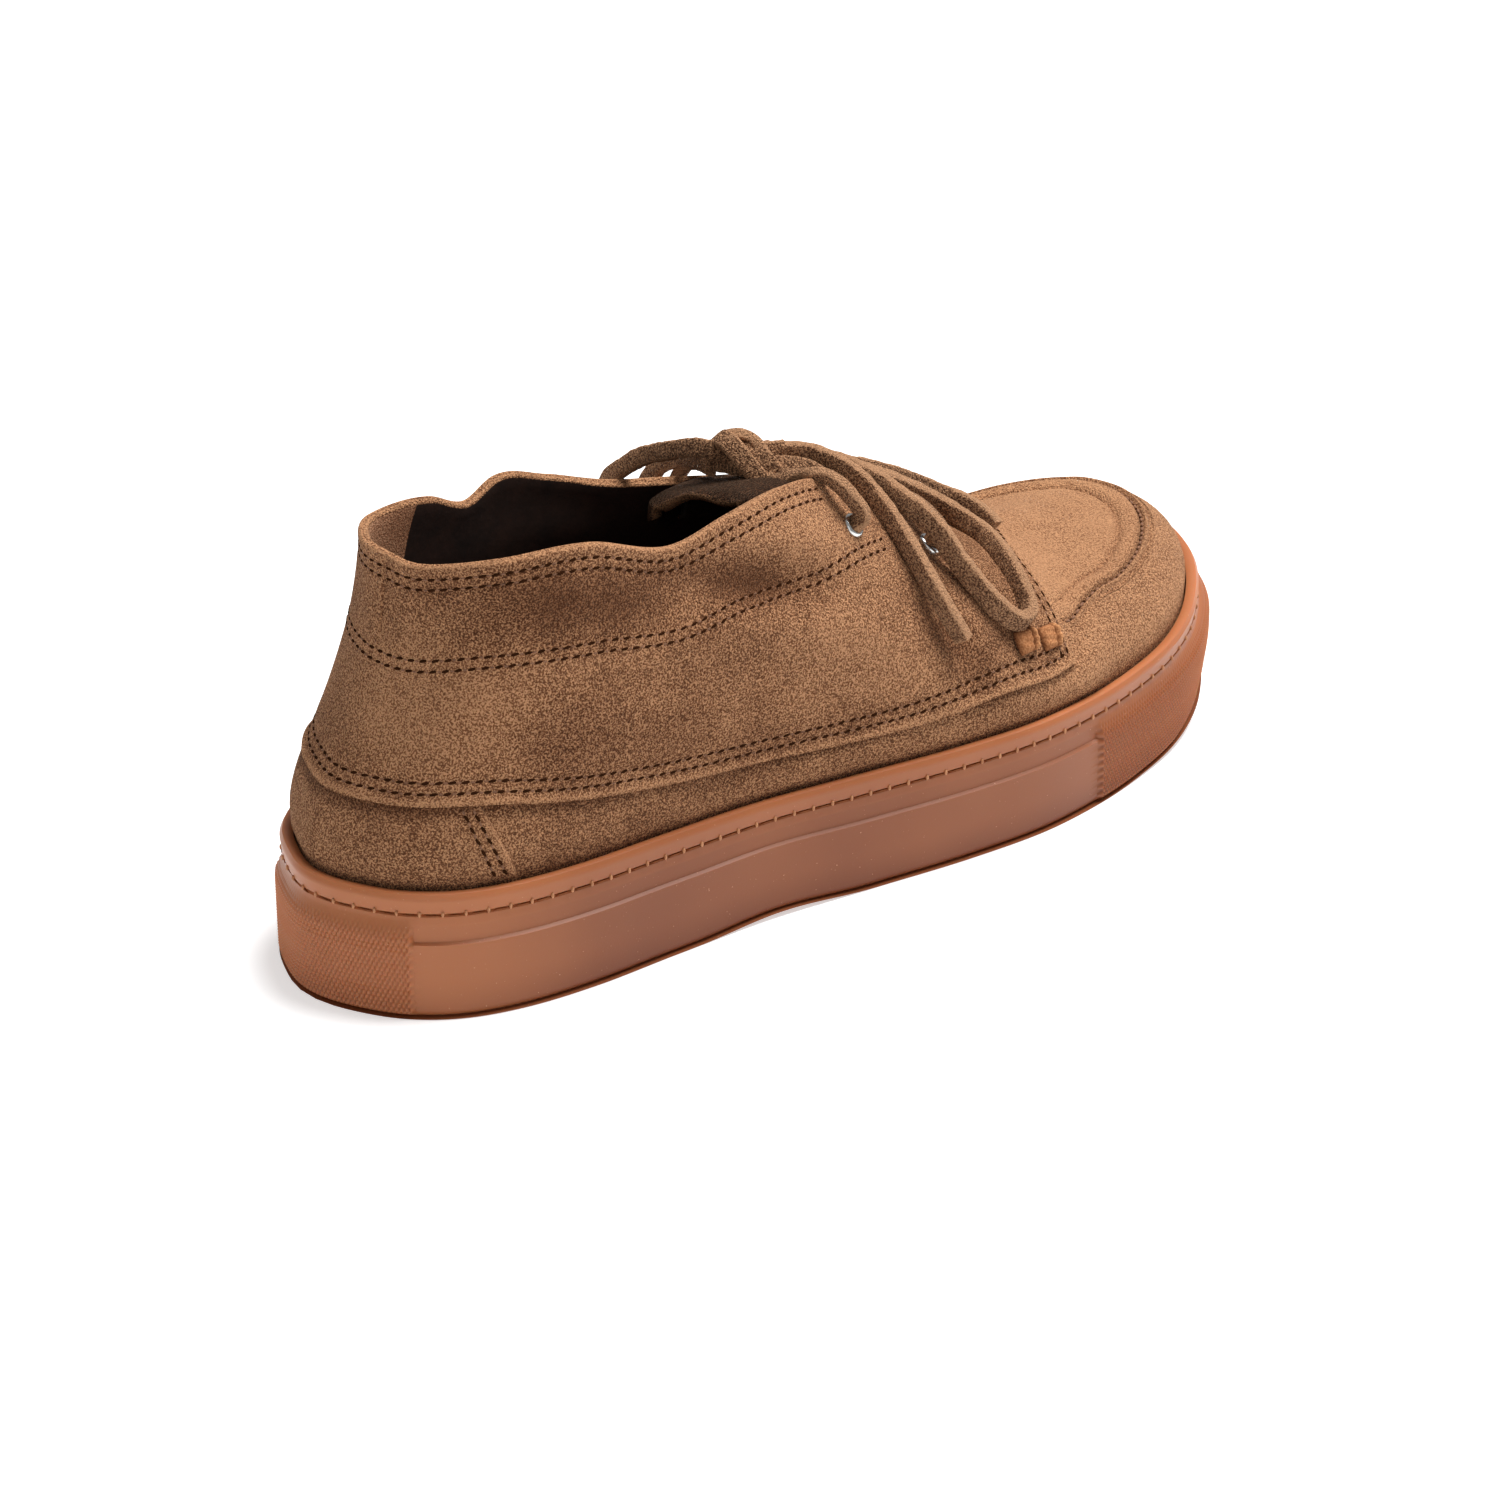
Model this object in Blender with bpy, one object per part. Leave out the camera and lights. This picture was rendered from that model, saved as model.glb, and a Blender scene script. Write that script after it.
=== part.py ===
"""Suede moc-toe chukka shoe on a moulded cup sole: a right shoe, standing empty.

The origin is on the floor at mid-length of the sole. +X is the toe, +Z is up and
+Y is the inner (medial) side of the foot. Sizes are in metres. Tables hold shares
of the named sizes.
"""
import math

import bmesh
import bpy
import numpy as np
from mathutils import Vector

MM = 0.001
SMALL_TURN = 0.001

# Driving dimensions
LENGTH = 0.300
BALL_WIDTH = 0.108
COLLAR_HEIGHT = 0.110
GAP = 0.0003
CUP_GAP = 0.00045

# Sole
HEEL_SIDE = 0.0339
TOE_SIDE = 0.0288
TOE_SPRING = 0.008
SPRING_START = 0.72
ARCH_RISE = 0.0012
ARCH_START = 0.29
ARCH_END = 0.47
CUP_WALL = 0.0040
HEEL_FLOOR = 0.0185
TOE_FLOOR = 0.0130
BUMPER_PROUD = 0.0008
BUMPER_TOP = 0.735
HEEL_BUMPER_END = 0.038
TOE_BUMPER_START = 0.720
TOE_FLARE_START = 0.84
TOE_FLARE_FULL = 0.96
TREAD_DEPTH = 0.0020
TREAD_GROOVE = 0.0030
TREAD_PITCH = 0.0125
TREAD_BORDER = 0.0090
TREAD_ZONES = ((0.07, 0.27), (0.54, 0.87))
HEEL_SOLE_COLUMNS = 6
MIDDLE_SOLE_COLUMNS = 13
TOE_SOLE_COLUMNS = 11
SPAN_COLUMNS = 6

# Upper
WALL = 0.0016
PANEL_STEP = 0.0011
COUNTER_STEP = 0.0008
STEP_RUN = 0.0005
COUNTER_EDGE = 0.113
COUNTER_SLANT = 0.054
FRONT_EDGE_LOW = 0.705
FRONT_EDGE_TOP = 0.790
SEAM_HEIGHT = 0.0016
SEAM_START = 0.15
SEAM_LEVEL = 0.765
LIP_BULGE = 0.0015
TOE_BULGE = 0.0030
LIP_SHARE = 0.3
TOE_EASE = 4.0
TOE_EASE_START = 0.35
FRONT_EDGE_BEND = 6

# Insole and tongue
INSOLE = 0.0045
TONGUE = 0.0022
TONGUE_LENGTH = 0.024
TONGUE_UNDERLAP = 0.82
TONGUE_CLEAR = 0.0005
TONGUE_SINK = 0.0030
TONGUE_CROWN = 0.30
TONGUE_LEAN = -0.002
TONGUE_SIDE_POINTS = 4
TONGUE_BRIDGE_POINTS = 4
INSOLE_CUP = 0.0012
INSOLE_RIM = 0.0050
INSOLE_TAPER = 0.0004
INSOLE_COLUMNS = 36
INSOLE_SPAN = 4

# Eyelets and laces
EYELET_OUTER = 0.0068
EYELET_BORE = 0.0036
EYELET_BARREL = 0.0046
EYELET_RIM = 0.0007
EYELET_SEAT = 0.0005
EYELET_SEGMENTS = 12
LACE = 0.0044
LACE_SPACING = 1.7
THONG_LENGTH = 0.0068
THONG_WIDTH = 0.0056
THONG_HEIGHT = 0.0022
THONG_EDGE = 0.0006
THONG_RINGS = 3
THONG_SEGMENTS = 12
THONG_SQUARENESS = 0.7

# Outline of the sole: share of LENGTH from the heel, half-widths as shares of BALL_WIDTH
OUTLINE = (
    # along, lateral, medial
    (0.000, 0.000, 0.000),
    (0.010, 0.120, 0.111),
    (0.033, 0.233, 0.224),
    (0.067, 0.317, 0.303),
    (0.117, 0.375, 0.352),
    (0.183, 0.408, 0.368),
    (0.267, 0.422, 0.361),
    (0.367, 0.444, 0.354),
    (0.467, 0.493, 0.366),
    (0.567, 0.542, 0.396),
    (0.650, 0.563, 0.431),
    (0.717, 0.549, 0.450),
    (0.783, 0.514, 0.455),
    (0.840, 0.468, 0.440),
    (0.893, 0.394, 0.408),
    (0.933, 0.308, 0.360),
    (0.967, 0.206, 0.286),
    (0.990, 0.090, 0.195),
    (1.000, -0.046, 0.046),
)

# Side of the sole, bottom to top: share of its height, how far it stands out, bumper or not,
# and how much further it stands out round the toe
SOLE_SIDE = (
    # height, proud, bumper, toe
    (0.000, -0.0012, 0, -0.0024),
    (0.030, -0.0002, 0, -0.0020),
    (0.060, 0.0000, 1, -0.0012),
    (0.250, 0.0000, 1, 0.0006),
    (0.450, 0.0000, 1, 0.0017),
    (0.600, 0.0000, 1, 0.0018),
    (0.615, -0.0009, 1, 0.0018),
    (BUMPER_TOP, -0.0010, 1, 0.0012),
    (BUMPER_TOP + 0.015, -0.0010, 0, 0.0006),
    (0.815, -0.0013, 0, 0.0002),
    (0.830, -0.0019, 0, 0.0),
    (0.850, -0.0010, 0, 0.0),
    (0.960, -0.0006, 0, 0.0),
    (1.000, -0.0013, 0, 0.0),
)

# Sections of the upper. along is where the section leaves the sole. rise and lean place the
# panel line (toe: the moc seam), belly rounds the wall above it, edge_* place the open edge.
# Shares: along and edge_along of LENGTH, rise and edge_rise of COLLAR_HEIGHT, others of BALL_WIDTH.
LATERAL = (
    # along, rise, lean, belly, edge_along, edge_out, edge_rise
    (0.00, 0.491, -0.050, -0.044, 0.098, 0.000, 1.000),
    (0.03, 0.495, -0.040, -0.038, 0.106, 0.116, 1.000),
    (0.10, 0.498, -0.020, -0.020, 0.144, 0.253, 1.028),
    (0.20, 0.452, -0.005, 0.008, 0.220, 0.310, 1.022),
    (0.30, 0.415, 0.004, 0.020, 0.300, 0.333, 0.958),
    (0.37, 0.400, 0.006, 0.028, 0.360, 0.324, 0.977),
    (0.45, 0.385, 0.006, 0.040, 0.433, 0.287, 0.977),
    (0.51, 0.378, 0.004, 0.055, 0.487, 0.241, 0.934),
    (0.56, 0.380, 0.002, 0.070, 0.547, 0.190, 0.841),
    (0.62, 0.386, 0.000, 0.080, 0.620, 0.157, 0.705),
    (0.68, 0.372, -0.010, 0.074, 0.687, 0.116, 0.605),
    (0.72, 0.384, -0.022, 0.054, 0.728, 0.088, 0.556),
    (0.76, 0.440, -0.066, 0.016, 0.748, 0.072, 0.545),
    (0.82, 0.442, -0.076, 0.002, 0.758, 0.058, 0.540),
    (0.90, 0.446, -0.082, -0.004, 0.765, 0.033, 0.538),
    (1.00, 0.440, -0.094, -0.008, 0.768, 0.000, 0.538),
)
MEDIAL = (
    # along, rise, lean, belly, edge_along, edge_out, edge_rise
    (0.00, 0.491, -0.050, -0.044, 0.098, 0.000, 1.000),
    (0.03, 0.493, -0.040, -0.038, 0.106, 0.112, 0.998),
    (0.10, 0.496, -0.018, -0.018, 0.142, 0.213, 0.985),
    (0.20, 0.452, 0.000, 0.004, 0.213, 0.252, 0.955),
    (0.26, 0.441, 0.004, 0.012, 0.260, 0.276, 0.902),
    (0.30, 0.415, 0.006, 0.016, 0.293, 0.287, 0.930),
    (0.37, 0.403, 0.010, 0.024, 0.350, 0.294, 0.886),
    (0.45, 0.390, 0.012, 0.036, 0.420, 0.276, 0.820),
    (0.51, 0.382, 0.010, 0.050, 0.480, 0.222, 0.795),
    (0.56, 0.384, 0.006, 0.062, 0.547, 0.176, 0.755),
    (0.62, 0.390, 0.000, 0.070, 0.620, 0.144, 0.680),
    (0.68, 0.390, -0.010, 0.066, 0.687, 0.110, 0.600),
    (0.72, 0.398, -0.024, 0.046, 0.728, 0.086, 0.555),
    (0.76, 0.420, -0.082, 0.002, 0.748, 0.072, 0.545),
    (0.82, 0.418, -0.098, -0.014, 0.758, 0.058, 0.540),
    (0.90, 0.424, -0.104, -0.014, 0.765, 0.033, 0.538),
    (1.00, 0.440, -0.094, -0.008, 0.768, 0.000, 0.538),
)
SECTION_COLUMNS = ("rise", "lean", "belly", "edge_along", "edge_out", "edge_rise")

# Moc seam across the toe: share of the way from the seam to the throat, height over the wall
# as a share of SEAM_HEIGHT
MOC_SEAM = (
    # share, height
    (0.000, 0.00),
    (0.030, 0.90),
    (0.065, 0.10),
    (0.130, 1.00),
    (0.205, -0.35),
    (0.280, 0.30),
    (0.400, 0.25),
    (0.550, 0.00),
)

# Where the two eyelets of a side sit: section share, and share up that section's wall
EYELETS = (
    # name, along, up
    ("upper", 0.520, 0.810),
    ("lower", 0.598, 0.740),
)

# Rows of the tongue, as section shares of the upper that they pass under
TONGUE_ROWS = (0.505, 0.54, 0.58, 0.62, 0.66, 0.70, 0.74, 0.80, 0.88, 0.94)

# Free end of the tongue above the tabs: shares of TONGUE_LENGTH, and width over the first row
TONGUE_TOP = (
    # rise, back, width
    (0.08, 0.40, 0.88),
    (0.09, 0.75, 0.84),
    (0.06, 1.00, 0.74),
    (0.03, 1.08, 0.60),
)

# Columns round each side of the upper
COUNTER_COLUMNS = 6
QUARTER_COLUMNS = 15
TOE_COLUMNS = 11

# Rows up the upper: share from the cup floor to the panel line and whether a panel's step is on it
FOOT_ROWS = (
    # share, lifted
    (0.00, 0),
    (LIP_SHARE, 0),
    (0.42, 1),
    (0.65, 1),
    (1.00, 1),
)
WALL_ROWS = (0.012, 0.035, 0.065, 0.13, 0.205, 0.28, 0.40, 0.52, 0.64, 0.76, 0.88, 1.0)

# Puffed thong that shows through the quarter at each side: section share, share up the wall
THONG_PADS = (
    # name, along, up
    ("rear", 0.648, 0.180),
    ("front", 0.680, 0.160),
)

# Lace routes, in millimetres
KNOT_CENTRE = (-9.0, -5.0, 105.4)
KNOT_SIZE = (7.6, 6.4, 5.6)
LACE_ROUTES = (
    ("lace_neck_lateral", (
        (-8.5, -13.5, 104.3), (-8.0, -19.0, 105.8), (-6.0, -25.0, 108.0), (-3.0, -30.0, 105.6),
        (0.5, -35.0, 99.2), (2.2, -36.9, 95.2))),
    ("lace_neck_medial", (
        (-6.6, 3.6, 101.2), (-4.5, 10.0, 97.6), (-2.5, 17.0, 93.8), (-0.8, 23.0, 91.4),
        (0.4, 28.4, 88.6), (0.6, 31.4, 85.6), (0.2, 33.2, 82.6))),
    ("lace_bar", (
        (30.2, -35.4, 81.4), (30.5, -30.5, 85.0), (30.5, -22.0, 86.8), (30.4, -14.0, 85.6),
        (30.4, -6.0, 83.6), (30.4, 0.0, 82.4), (30.2, 12.0, 81.6), (30.0, 20.0, 80.8),
        (29.6, 27.0, 78.4), (29.2, 31.6, 75.6))),
    ("lace_end_lateral", (
        (-1.0, -9.0, 107.4), (3.1, -12.0, 106.4), (9.0, -16.5, 102.8), (13.6, -22.0, 97.2), (15.8, -29.0, 91.0),
        (16.0, -37.0, 84.6), (17.0, -46.0, 74.6), (18.6, -50.6, 67.6), (21.0, -54.0, 60.5))),
    ("lace_loop_lateral", (
        (0.2, -4.0, 106.0), (7.7, -3.0, 102.4), (23.2, -5.0, 94.0), (34.5, -8.0, 87.0),
        (46.9, -10.0, 79.5), (55.0, -14.0, 73.4), (57.5, -25.7, 69.4), (54.4, -37.9, 66.9),
        (52.3, -45.8, 62.2), (50.0, -51.4, 57.6), (46.4, -53.2, 56.8), (42.0, -52.2, 59.6),
        (37.4, -49.6, 65.4), (32.6, -44.0, 74.6), (28.5, -38.0, 84.8), (23.0, -30.5, 92.2),
        (20.2, -20.6, 95.8), (16.0, -12.4, 98.2), (8.0, -9.2, 101.0), (1.0, -8.6, 101.8))),
    ("lace_end_medial", (
        (0.2, 0.6, 103.6), (8.0, 3.0, 99.4), (23.0, 2.6, 91.2), (40.1, -1.0, 84.2), (54.5, -2.0, 76.1),
        (66.0, -4.0, 68.8), (72.6, -7.4, 65.8), (75.4, -13.0, 63.6))),
    ("lace_loop_medial", (
        (-14.4, 1.0, 107.8), (-15.7, 6.1, 107.0), (-18.1, 16.2, 101.9), (-18.7, 24.3, 97.2),
        (-19.9, 31.3, 94.4), (-20.1, 36.7, 89.4), (-19.1, 40.3, 82.6), (-16.5, 42.7, 75.6),
        (-11.9, 43.9, 71.4), (-7.3, 43.3, 74.6), (-4.5, 40.5, 81.6), (-3.3, 35.9, 88.6),
        (-3.1, 29.3, 93.0), (-6.0, 20.2, 96.7), (-9.7, 11.1, 99.9), (-12.4, 4.4, 101.4))),
)


def clear_scene():
    for old in list(bpy.data.objects):
        bpy.data.objects.remove(old)


def curve_through(at, knots, values):
    """Smooth curve through the rows of a table, with slopes taken from the rows beside."""
    knots = np.asarray(knots, float)
    values = np.asarray(values, float)
    chord = np.diff(values) / np.diff(knots)
    slope = np.empty(len(knots))
    slope[1:-1] = (chord[:-1] * np.diff(knots)[1:] + chord[1:] * np.diff(knots)[:-1]) / (knots[2:] - knots[:-2])
    slope[0] = chord[0]
    slope[-1] = chord[-1]
    cell = np.clip(np.searchsorted(knots, at, side="right") - 1, 0, len(knots) - 2)
    width = knots[cell + 1] - knots[cell]
    t = (np.asarray(at, float) - knots[cell]) / width
    start = (2 * t ** 3 - 3 * t ** 2 + 1) * values[cell] + (t ** 3 - 2 * t ** 2 + t) * width * slope[cell]
    end = (3 * t ** 2 - 2 * t ** 3) * values[cell + 1] + (t ** 3 - t ** 2) * width * slope[cell + 1]
    return start + end


def turn_of(along):
    """Angle round the sole at a share of the length: 0 at the heel, pi at the toe."""
    return np.arccos(np.clip(1 - 2 * np.asarray(along, float), -1, 1))


def round_table(turn, lateral, medial, lateral_values, medial_values):
    """Value at an angle round the shoe, from rows on the lateral and then the medial side."""
    knots = np.concatenate([turn_of(lateral), 2 * math.pi - turn_of(medial)[::-1][1:]])
    values = np.concatenate([lateral_values, medial_values[::-1][1:]])
    knots = np.concatenate([knots[-4:-1] - 2 * math.pi, knots, knots[1:4] + 2 * math.pi])
    values = np.concatenate([values[-4:-1], values, values[1:4]])
    return curve_through(turn, knots, values)


def plan_point(turn):
    rows = np.array(OUTLINE)
    x = -0.5 * LENGTH * np.cos(turn)
    y = BALL_WIDTH * round_table(turn, rows[:, 0], rows[:, 0], -rows[:, 1], rows[:, 2])
    return np.stack([x, y], -1)


def inward(turn):
    """Unit direction square to the sole's outline, towards its middle."""
    turn = np.asarray(turn, float)
    along = plan_point(np.mod(turn + SMALL_TURN, 2 * math.pi)) - plan_point(np.mod(turn - SMALL_TURN, 2 * math.pi))
    along /= np.linalg.norm(along, axis=-1, keepdims=True)
    return np.stack([-along[..., 1], along[..., 0]], -1)


def outline(turn, inset=0.0):
    """Plan of the sole at angles round it, moved in by inset. Rows of x, y."""
    return plan_point(np.mod(turn, 2 * math.pi)) + inward(turn) * np.asarray(inset)[..., None]


def length_share(x):
    return np.clip(np.asarray(x) / LENGTH + 0.5, 0, 1)


def bottom_height(x):
    """Underside of the sole: flat heel and ball, a low arch and the toe spring."""
    share = length_share(x)
    spring = TOE_SPRING * np.clip((share - SPRING_START) / (1 - SPRING_START), 0, 1) ** 2
    arch = np.clip((share - ARCH_START) / (ARCH_END - ARCH_START), 0, 1)
    return spring + ARCH_RISE * np.sin(math.pi * arch) ** 2


def lip_height(x):
    share = length_share(x)
    spring = TOE_SPRING * np.clip((share - SPRING_START) / (1 - SPRING_START), 0, 1) ** 2
    return HEEL_SIDE + (TOE_SIDE - HEEL_SIDE) * share + spring


def floor_height(x):
    share = length_share(x)
    spring = TOE_SPRING * np.clip((share - SPRING_START) / (1 - SPRING_START), 0, 1) ** 2
    return HEEL_FLOOR + (TOE_FLOOR - HEEL_FLOOR) * np.clip(share / 0.7, 0, 1) ** 1.5 + spring


def section_values(turn):
    lateral = np.array(LATERAL)
    medial = np.array(MEDIAL)
    found = {}
    for column, name in enumerate(SECTION_COLUMNS, start=1):
        sign = -1 if name == "edge_out" else 1
        found[name] = round_table(turn, lateral[:, 0], medial[:, 0],
                                  sign * lateral[:, column], medial[:, column])
    return found


def toe_weight(turn):
    """1 where the moc seam runs, 0 on the quarters."""
    share = 0.5 - 0.5 * np.cos(turn)
    return np.clip((share - FRONT_EDGE_LOW + 0.03) / 0.05, 0, 1)


def foot_point(turn, share):
    """Outer face of the upper from the cup floor (0) over the lip to the panel line (1)."""
    found = section_values(turn)
    inset = CUP_WALL + CUP_GAP
    feather = outline(turn, inset)
    lip = lip_height(feather[..., 0])
    floor = floor_height(feather[..., 0]) + GAP
    panel_xy = outline(turn, inset - BALL_WIDTH * found["lean"])
    panel_z = COLLAR_HEIGHT * found["rise"]
    low = np.clip(share / LIP_SHARE, 0, 1)
    high = np.clip((share - LIP_SHARE) / (1 - LIP_SHARE), 0, 1)
    swell = LIP_BULGE + (TOE_BULGE - LIP_BULGE) * toe_weight(turn)
    xy = feather + (panel_xy - feather) * high[..., None]
    xy = xy - inward(turn) * (swell * 4 * high * (1 - high))[..., None]
    z = floor + (lip - floor) * low + (panel_z - lip) * high
    return np.concatenate([xy, z[..., None]], -1)


def wall_point(turn, share):
    """Outer face of the upper from the panel line (0) to the collar or throat edge (1)."""
    found = section_values(turn)
    start = foot_point(turn, np.ones_like(turn))
    edge = np.stack([LENGTH * (found["edge_along"] - 0.5),
                     BALL_WIDTH * found["edge_out"],
                     COLLAR_HEIGHT * found["edge_rise"]], -1)
    chord = edge - start
    tangent = outline(turn + SMALL_TURN) - outline(turn - SMALL_TURN)
    tangent = np.concatenate([tangent, np.zeros_like(tangent[..., :1])], -1)
    across = np.cross(tangent, chord)
    across /= np.linalg.norm(across, axis=-1, keepdims=True)
    belly = BALL_WIDTH * found["belly"] * 4 * share * (1 - share)
    return start + chord * share[..., None] + across * belly[..., None]


def surface_normal(turn, share, part):
    up = part(turn, np.clip(share + SMALL_TURN, 0, 1)) - part(turn, np.clip(share - SMALL_TURN, 0, 1))
    round_way = part(turn + SMALL_TURN, share) - part(turn - SMALL_TURN, share)
    normal = np.cross(round_way, up)
    return normal / np.linalg.norm(normal, axis=-1, keepdims=True)


def new_material(name, colour, roughness, metallic=0.0):
    material = bpy.data.materials.new(name)
    material.use_nodes = True
    shader = material.node_tree.nodes["Principled BSDF"]
    shader.inputs["Base Color"].default_value = (*colour, 1.0)
    shader.inputs["Roughness"].default_value = roughness
    shader.inputs["Metallic"].default_value = metallic
    return material


def new_object(name, points, faces, material):
    mesh = bpy.data.meshes.new(name)
    mesh.from_pydata([tuple(map(float, p)) for p in points], [], faces)
    work = bmesh.new()
    work.from_mesh(mesh)
    bmesh.ops.remove_doubles(work, verts=work.verts, dist=1e-6)
    bmesh.ops.recalc_face_normals(work, faces=work.faces)
    work.to_mesh(mesh)
    work.free()
    mesh.materials.append(material)
    mesh.shade_smooth()
    mesh.set_sharp_from_angle(angle=math.radians(35))
    item = bpy.data.objects.new(name, mesh)
    bpy.context.scene.collection.objects.link(item)
    return item


def strip_faces(rows, columns, closed_columns=False, closed_rows=False):
    """Quads between rows of points that are stored one row after another."""
    faces = []
    for r in range(rows if closed_rows else rows - 1):
        below = (r + 1) % rows
        for c in range(columns if closed_columns else columns - 1):
            beside = (c + 1) % columns
            faces.append((r * columns + c, r * columns + beside, below * columns + beside, below * columns + c))
    return faces


def span_ring(points, faces, ring, height, across=SPAN_COLUMNS, flip=False):
    """Close a ring of point numbers, heel first, with rungs between its two sides."""
    count = len(ring)
    half = count // 2
    rows = [[ring[0]]]
    for step in range(1, half):
        left = ring[step]
        right = ring[count - step]
        row = [left]
        for c in range(1, across):
            t = c / across
            x = points[left][0] * (1 - t) + points[right][0] * t
            y = points[left][1] * (1 - t) + points[right][1] * t
            row.append(len(points))
            points.append((x, y, float(height(x))))
        row.append(right)
        rows.append(row)
    rows.append([ring[half]])
    for before, after in zip(rows[:-1], rows[1:]):
        if len(before) == 1:
            made = [(before[0], after[c], after[c + 1]) for c in range(across)]
        elif len(after) == 1:
            made = [(before[c], after[0], before[c + 1]) for c in range(across)]
        else:
            made = [(before[c], after[c], after[c + 1], before[c + 1]) for c in range(across)]
        faces.extend(tuple(reversed(f)) if flip else f for f in made)


def seam_start(turn):
    """Share up the wall where the moc seam lies: it runs in above the quarter's corner."""
    share = 0.5 - 0.5 * np.cos(turn)
    return SEAM_START * np.clip((SEAM_LEVEL - share) / (SEAM_LEVEL - FRONT_EDGE_LOW), 0, 1)


def front_edge(share):
    """Angle of the quarter's front edge at a share up the wall."""
    return turn_of(FRONT_EDGE_LOW + (FRONT_EDGE_TOP - FRONT_EDGE_LOW) * share ** FRONT_EDGE_BEND)


def half_step():
    return math.pi * STEP_RUN / LENGTH


def upper_columns(share, slant=0.0):
    """Angles of the columns at a share up the wall, with counter, quarter and toe weights."""
    counter = float(turn_of(COUNTER_EDGE + slant))
    front = float(front_edge(share))
    run = half_step()
    side = [(counter * i / COUNTER_COLUMNS, 1, 1, 0.0) for i in range(COUNTER_COLUMNS)]
    side.append((counter - run, 1, 1, 0.0))
    quarter = front - counter - run
    side += [(counter + run + quarter * i / QUARTER_COLUMNS, 0, 1, 0.0) for i in range(QUARTER_COLUMNS)]
    side.append((front - run, 0, 1, 0.0))
    toe = math.pi - front - run
    for i in range(TOE_COLUMNS + 1):
        t = i / TOE_COLUMNS
        side.append((front + run + toe * t, 0, 0, min(1.0, TOE_EASE_START + TOE_EASE * t)))
    other = [(2 * math.pi - column[0], *column[1:]) for column in side[1:-1]]
    return np.array(side + other[::-1])


def seam_lift(share):
    """Height of the moc seam's ridge and pucker, as a share of SEAM_HEIGHT."""
    rows = np.array(MOC_SEAM)
    return float(curve_through(min(share, rows[-1, 0]), rows[:, 0], rows[:, 1]))


def foot_row(share, lifted, outer):
    turn, counter = upper_columns(0.0, COUNTER_SLANT * (1 - share))[:, :2].T
    at = np.full(len(turn), share)
    offset = COUNTER_STEP * counter * lifted if outer else np.full(len(turn), -WALL)
    return foot_point(turn, at) + surface_normal(turn, at, foot_point) * offset[:, None]


def wall_row(share, outer):
    turn, _, quarter, toe = upper_columns(share).T
    at = share + (1 - quarter) * seam_start(turn) * (1 - share)
    offset = PANEL_STEP * quarter + SEAM_HEIGHT * toe * seam_lift(share) if outer else np.full(len(turn), -WALL)
    return wall_point(turn, at) + surface_normal(turn, at, wall_point) * offset[:, None]


def make_upper(material):
    """One hollow wall, open underneath, along the throat and at the collar."""
    outer = [foot_row(share, lifted, True) for share, lifted in FOOT_ROWS]
    outer += [wall_row(share, True) for share in WALL_ROWS]
    inner = [foot_row(share, lifted, False) for share, lifted in FOOT_ROWS]
    inner += [wall_row(share, False) for share in WALL_ROWS]
    rows = outer + inner[::-1]
    faces = strip_faces(len(rows), len(rows[0]), closed_columns=True, closed_rows=True)
    return new_object("upper", np.concatenate(rows), faces, material)


def sole_columns():
    """Angles round the sole, doubled where a bumper ends, with 1 on the bumpers."""
    heel_end = float(turn_of(HEEL_BUMPER_END))
    toe_start = float(turn_of(TOE_BUMPER_START))
    run = half_step()
    side = [(heel_end * i / HEEL_SOLE_COLUMNS, 1) for i in range(HEEL_SOLE_COLUMNS)]
    side.append((heel_end - run, 1))
    middle = toe_start - heel_end - 2 * run
    side += [(heel_end + run + middle * i / MIDDLE_SOLE_COLUMNS, 0) for i in range(MIDDLE_SOLE_COLUMNS + 1)]
    toe = math.pi - toe_start - run
    side += [(toe_start + run + toe * i / TOE_SOLE_COLUMNS, 1) for i in range(TOE_SOLE_COLUMNS + 1)]
    other = [(2 * math.pi - turn, bumper) for turn, bumper in side[1:-1]]
    return side + other[::-1]


def make_outsole(material):
    columns = sole_columns()
    turns = np.array([turn for turn, _ in columns])
    bumper = np.array([flag for _, flag in columns], float)
    count = len(columns)
    points = []
    faces = []
    share = 0.5 - 0.5 * np.cos(turns)
    at_toe = np.clip((share - TOE_FLARE_START) / (TOE_FLARE_FULL - TOE_FLARE_START), 0, 1)
    for height, proud, on_bumper, toe in SOLE_SIDE:
        out = proud + (BUMPER_PROUD - proud) * bumper * on_bumper + toe * at_toe
        plan = outline(turns, -out)
        low = bottom_height(plan[:, 0])
        z = low + (lip_height(plan[:, 0]) - low) * height
        points += [(x, y, h) for (x, y), h in zip(plan, z)]
    rim = outline(turns, CUP_WALL)
    points += [(x, y, h) for (x, y), h in zip(rim, lip_height(rim[:, 0]))]
    points += [(x, y, h) for (x, y), h in zip(rim, floor_height(rim[:, 0]))]
    rows = len(SOLE_SIDE) + 2
    faces += strip_faces(rows, count, closed_columns=True)
    span_ring(points, faces, list(range(count)), bottom_height)
    span_ring(points, faces, [(rows - 1) * count + c for c in range(count)], floor_height, flip=True)
    sole = new_object("outsole", points, faces, material)
    cut_tread(sole)
    return sole


def box_points(low, high):
    return [(x, y, z) for x in (low[0], high[0]) for y in (low[1], high[1]) for z in (low[2], high[2])]


BOX_FACES = ((0, 1, 3, 2), (4, 6, 7, 5), (0, 4, 5, 1), (2, 3, 7, 6), (0, 2, 6, 4), (1, 5, 7, 3))


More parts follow.
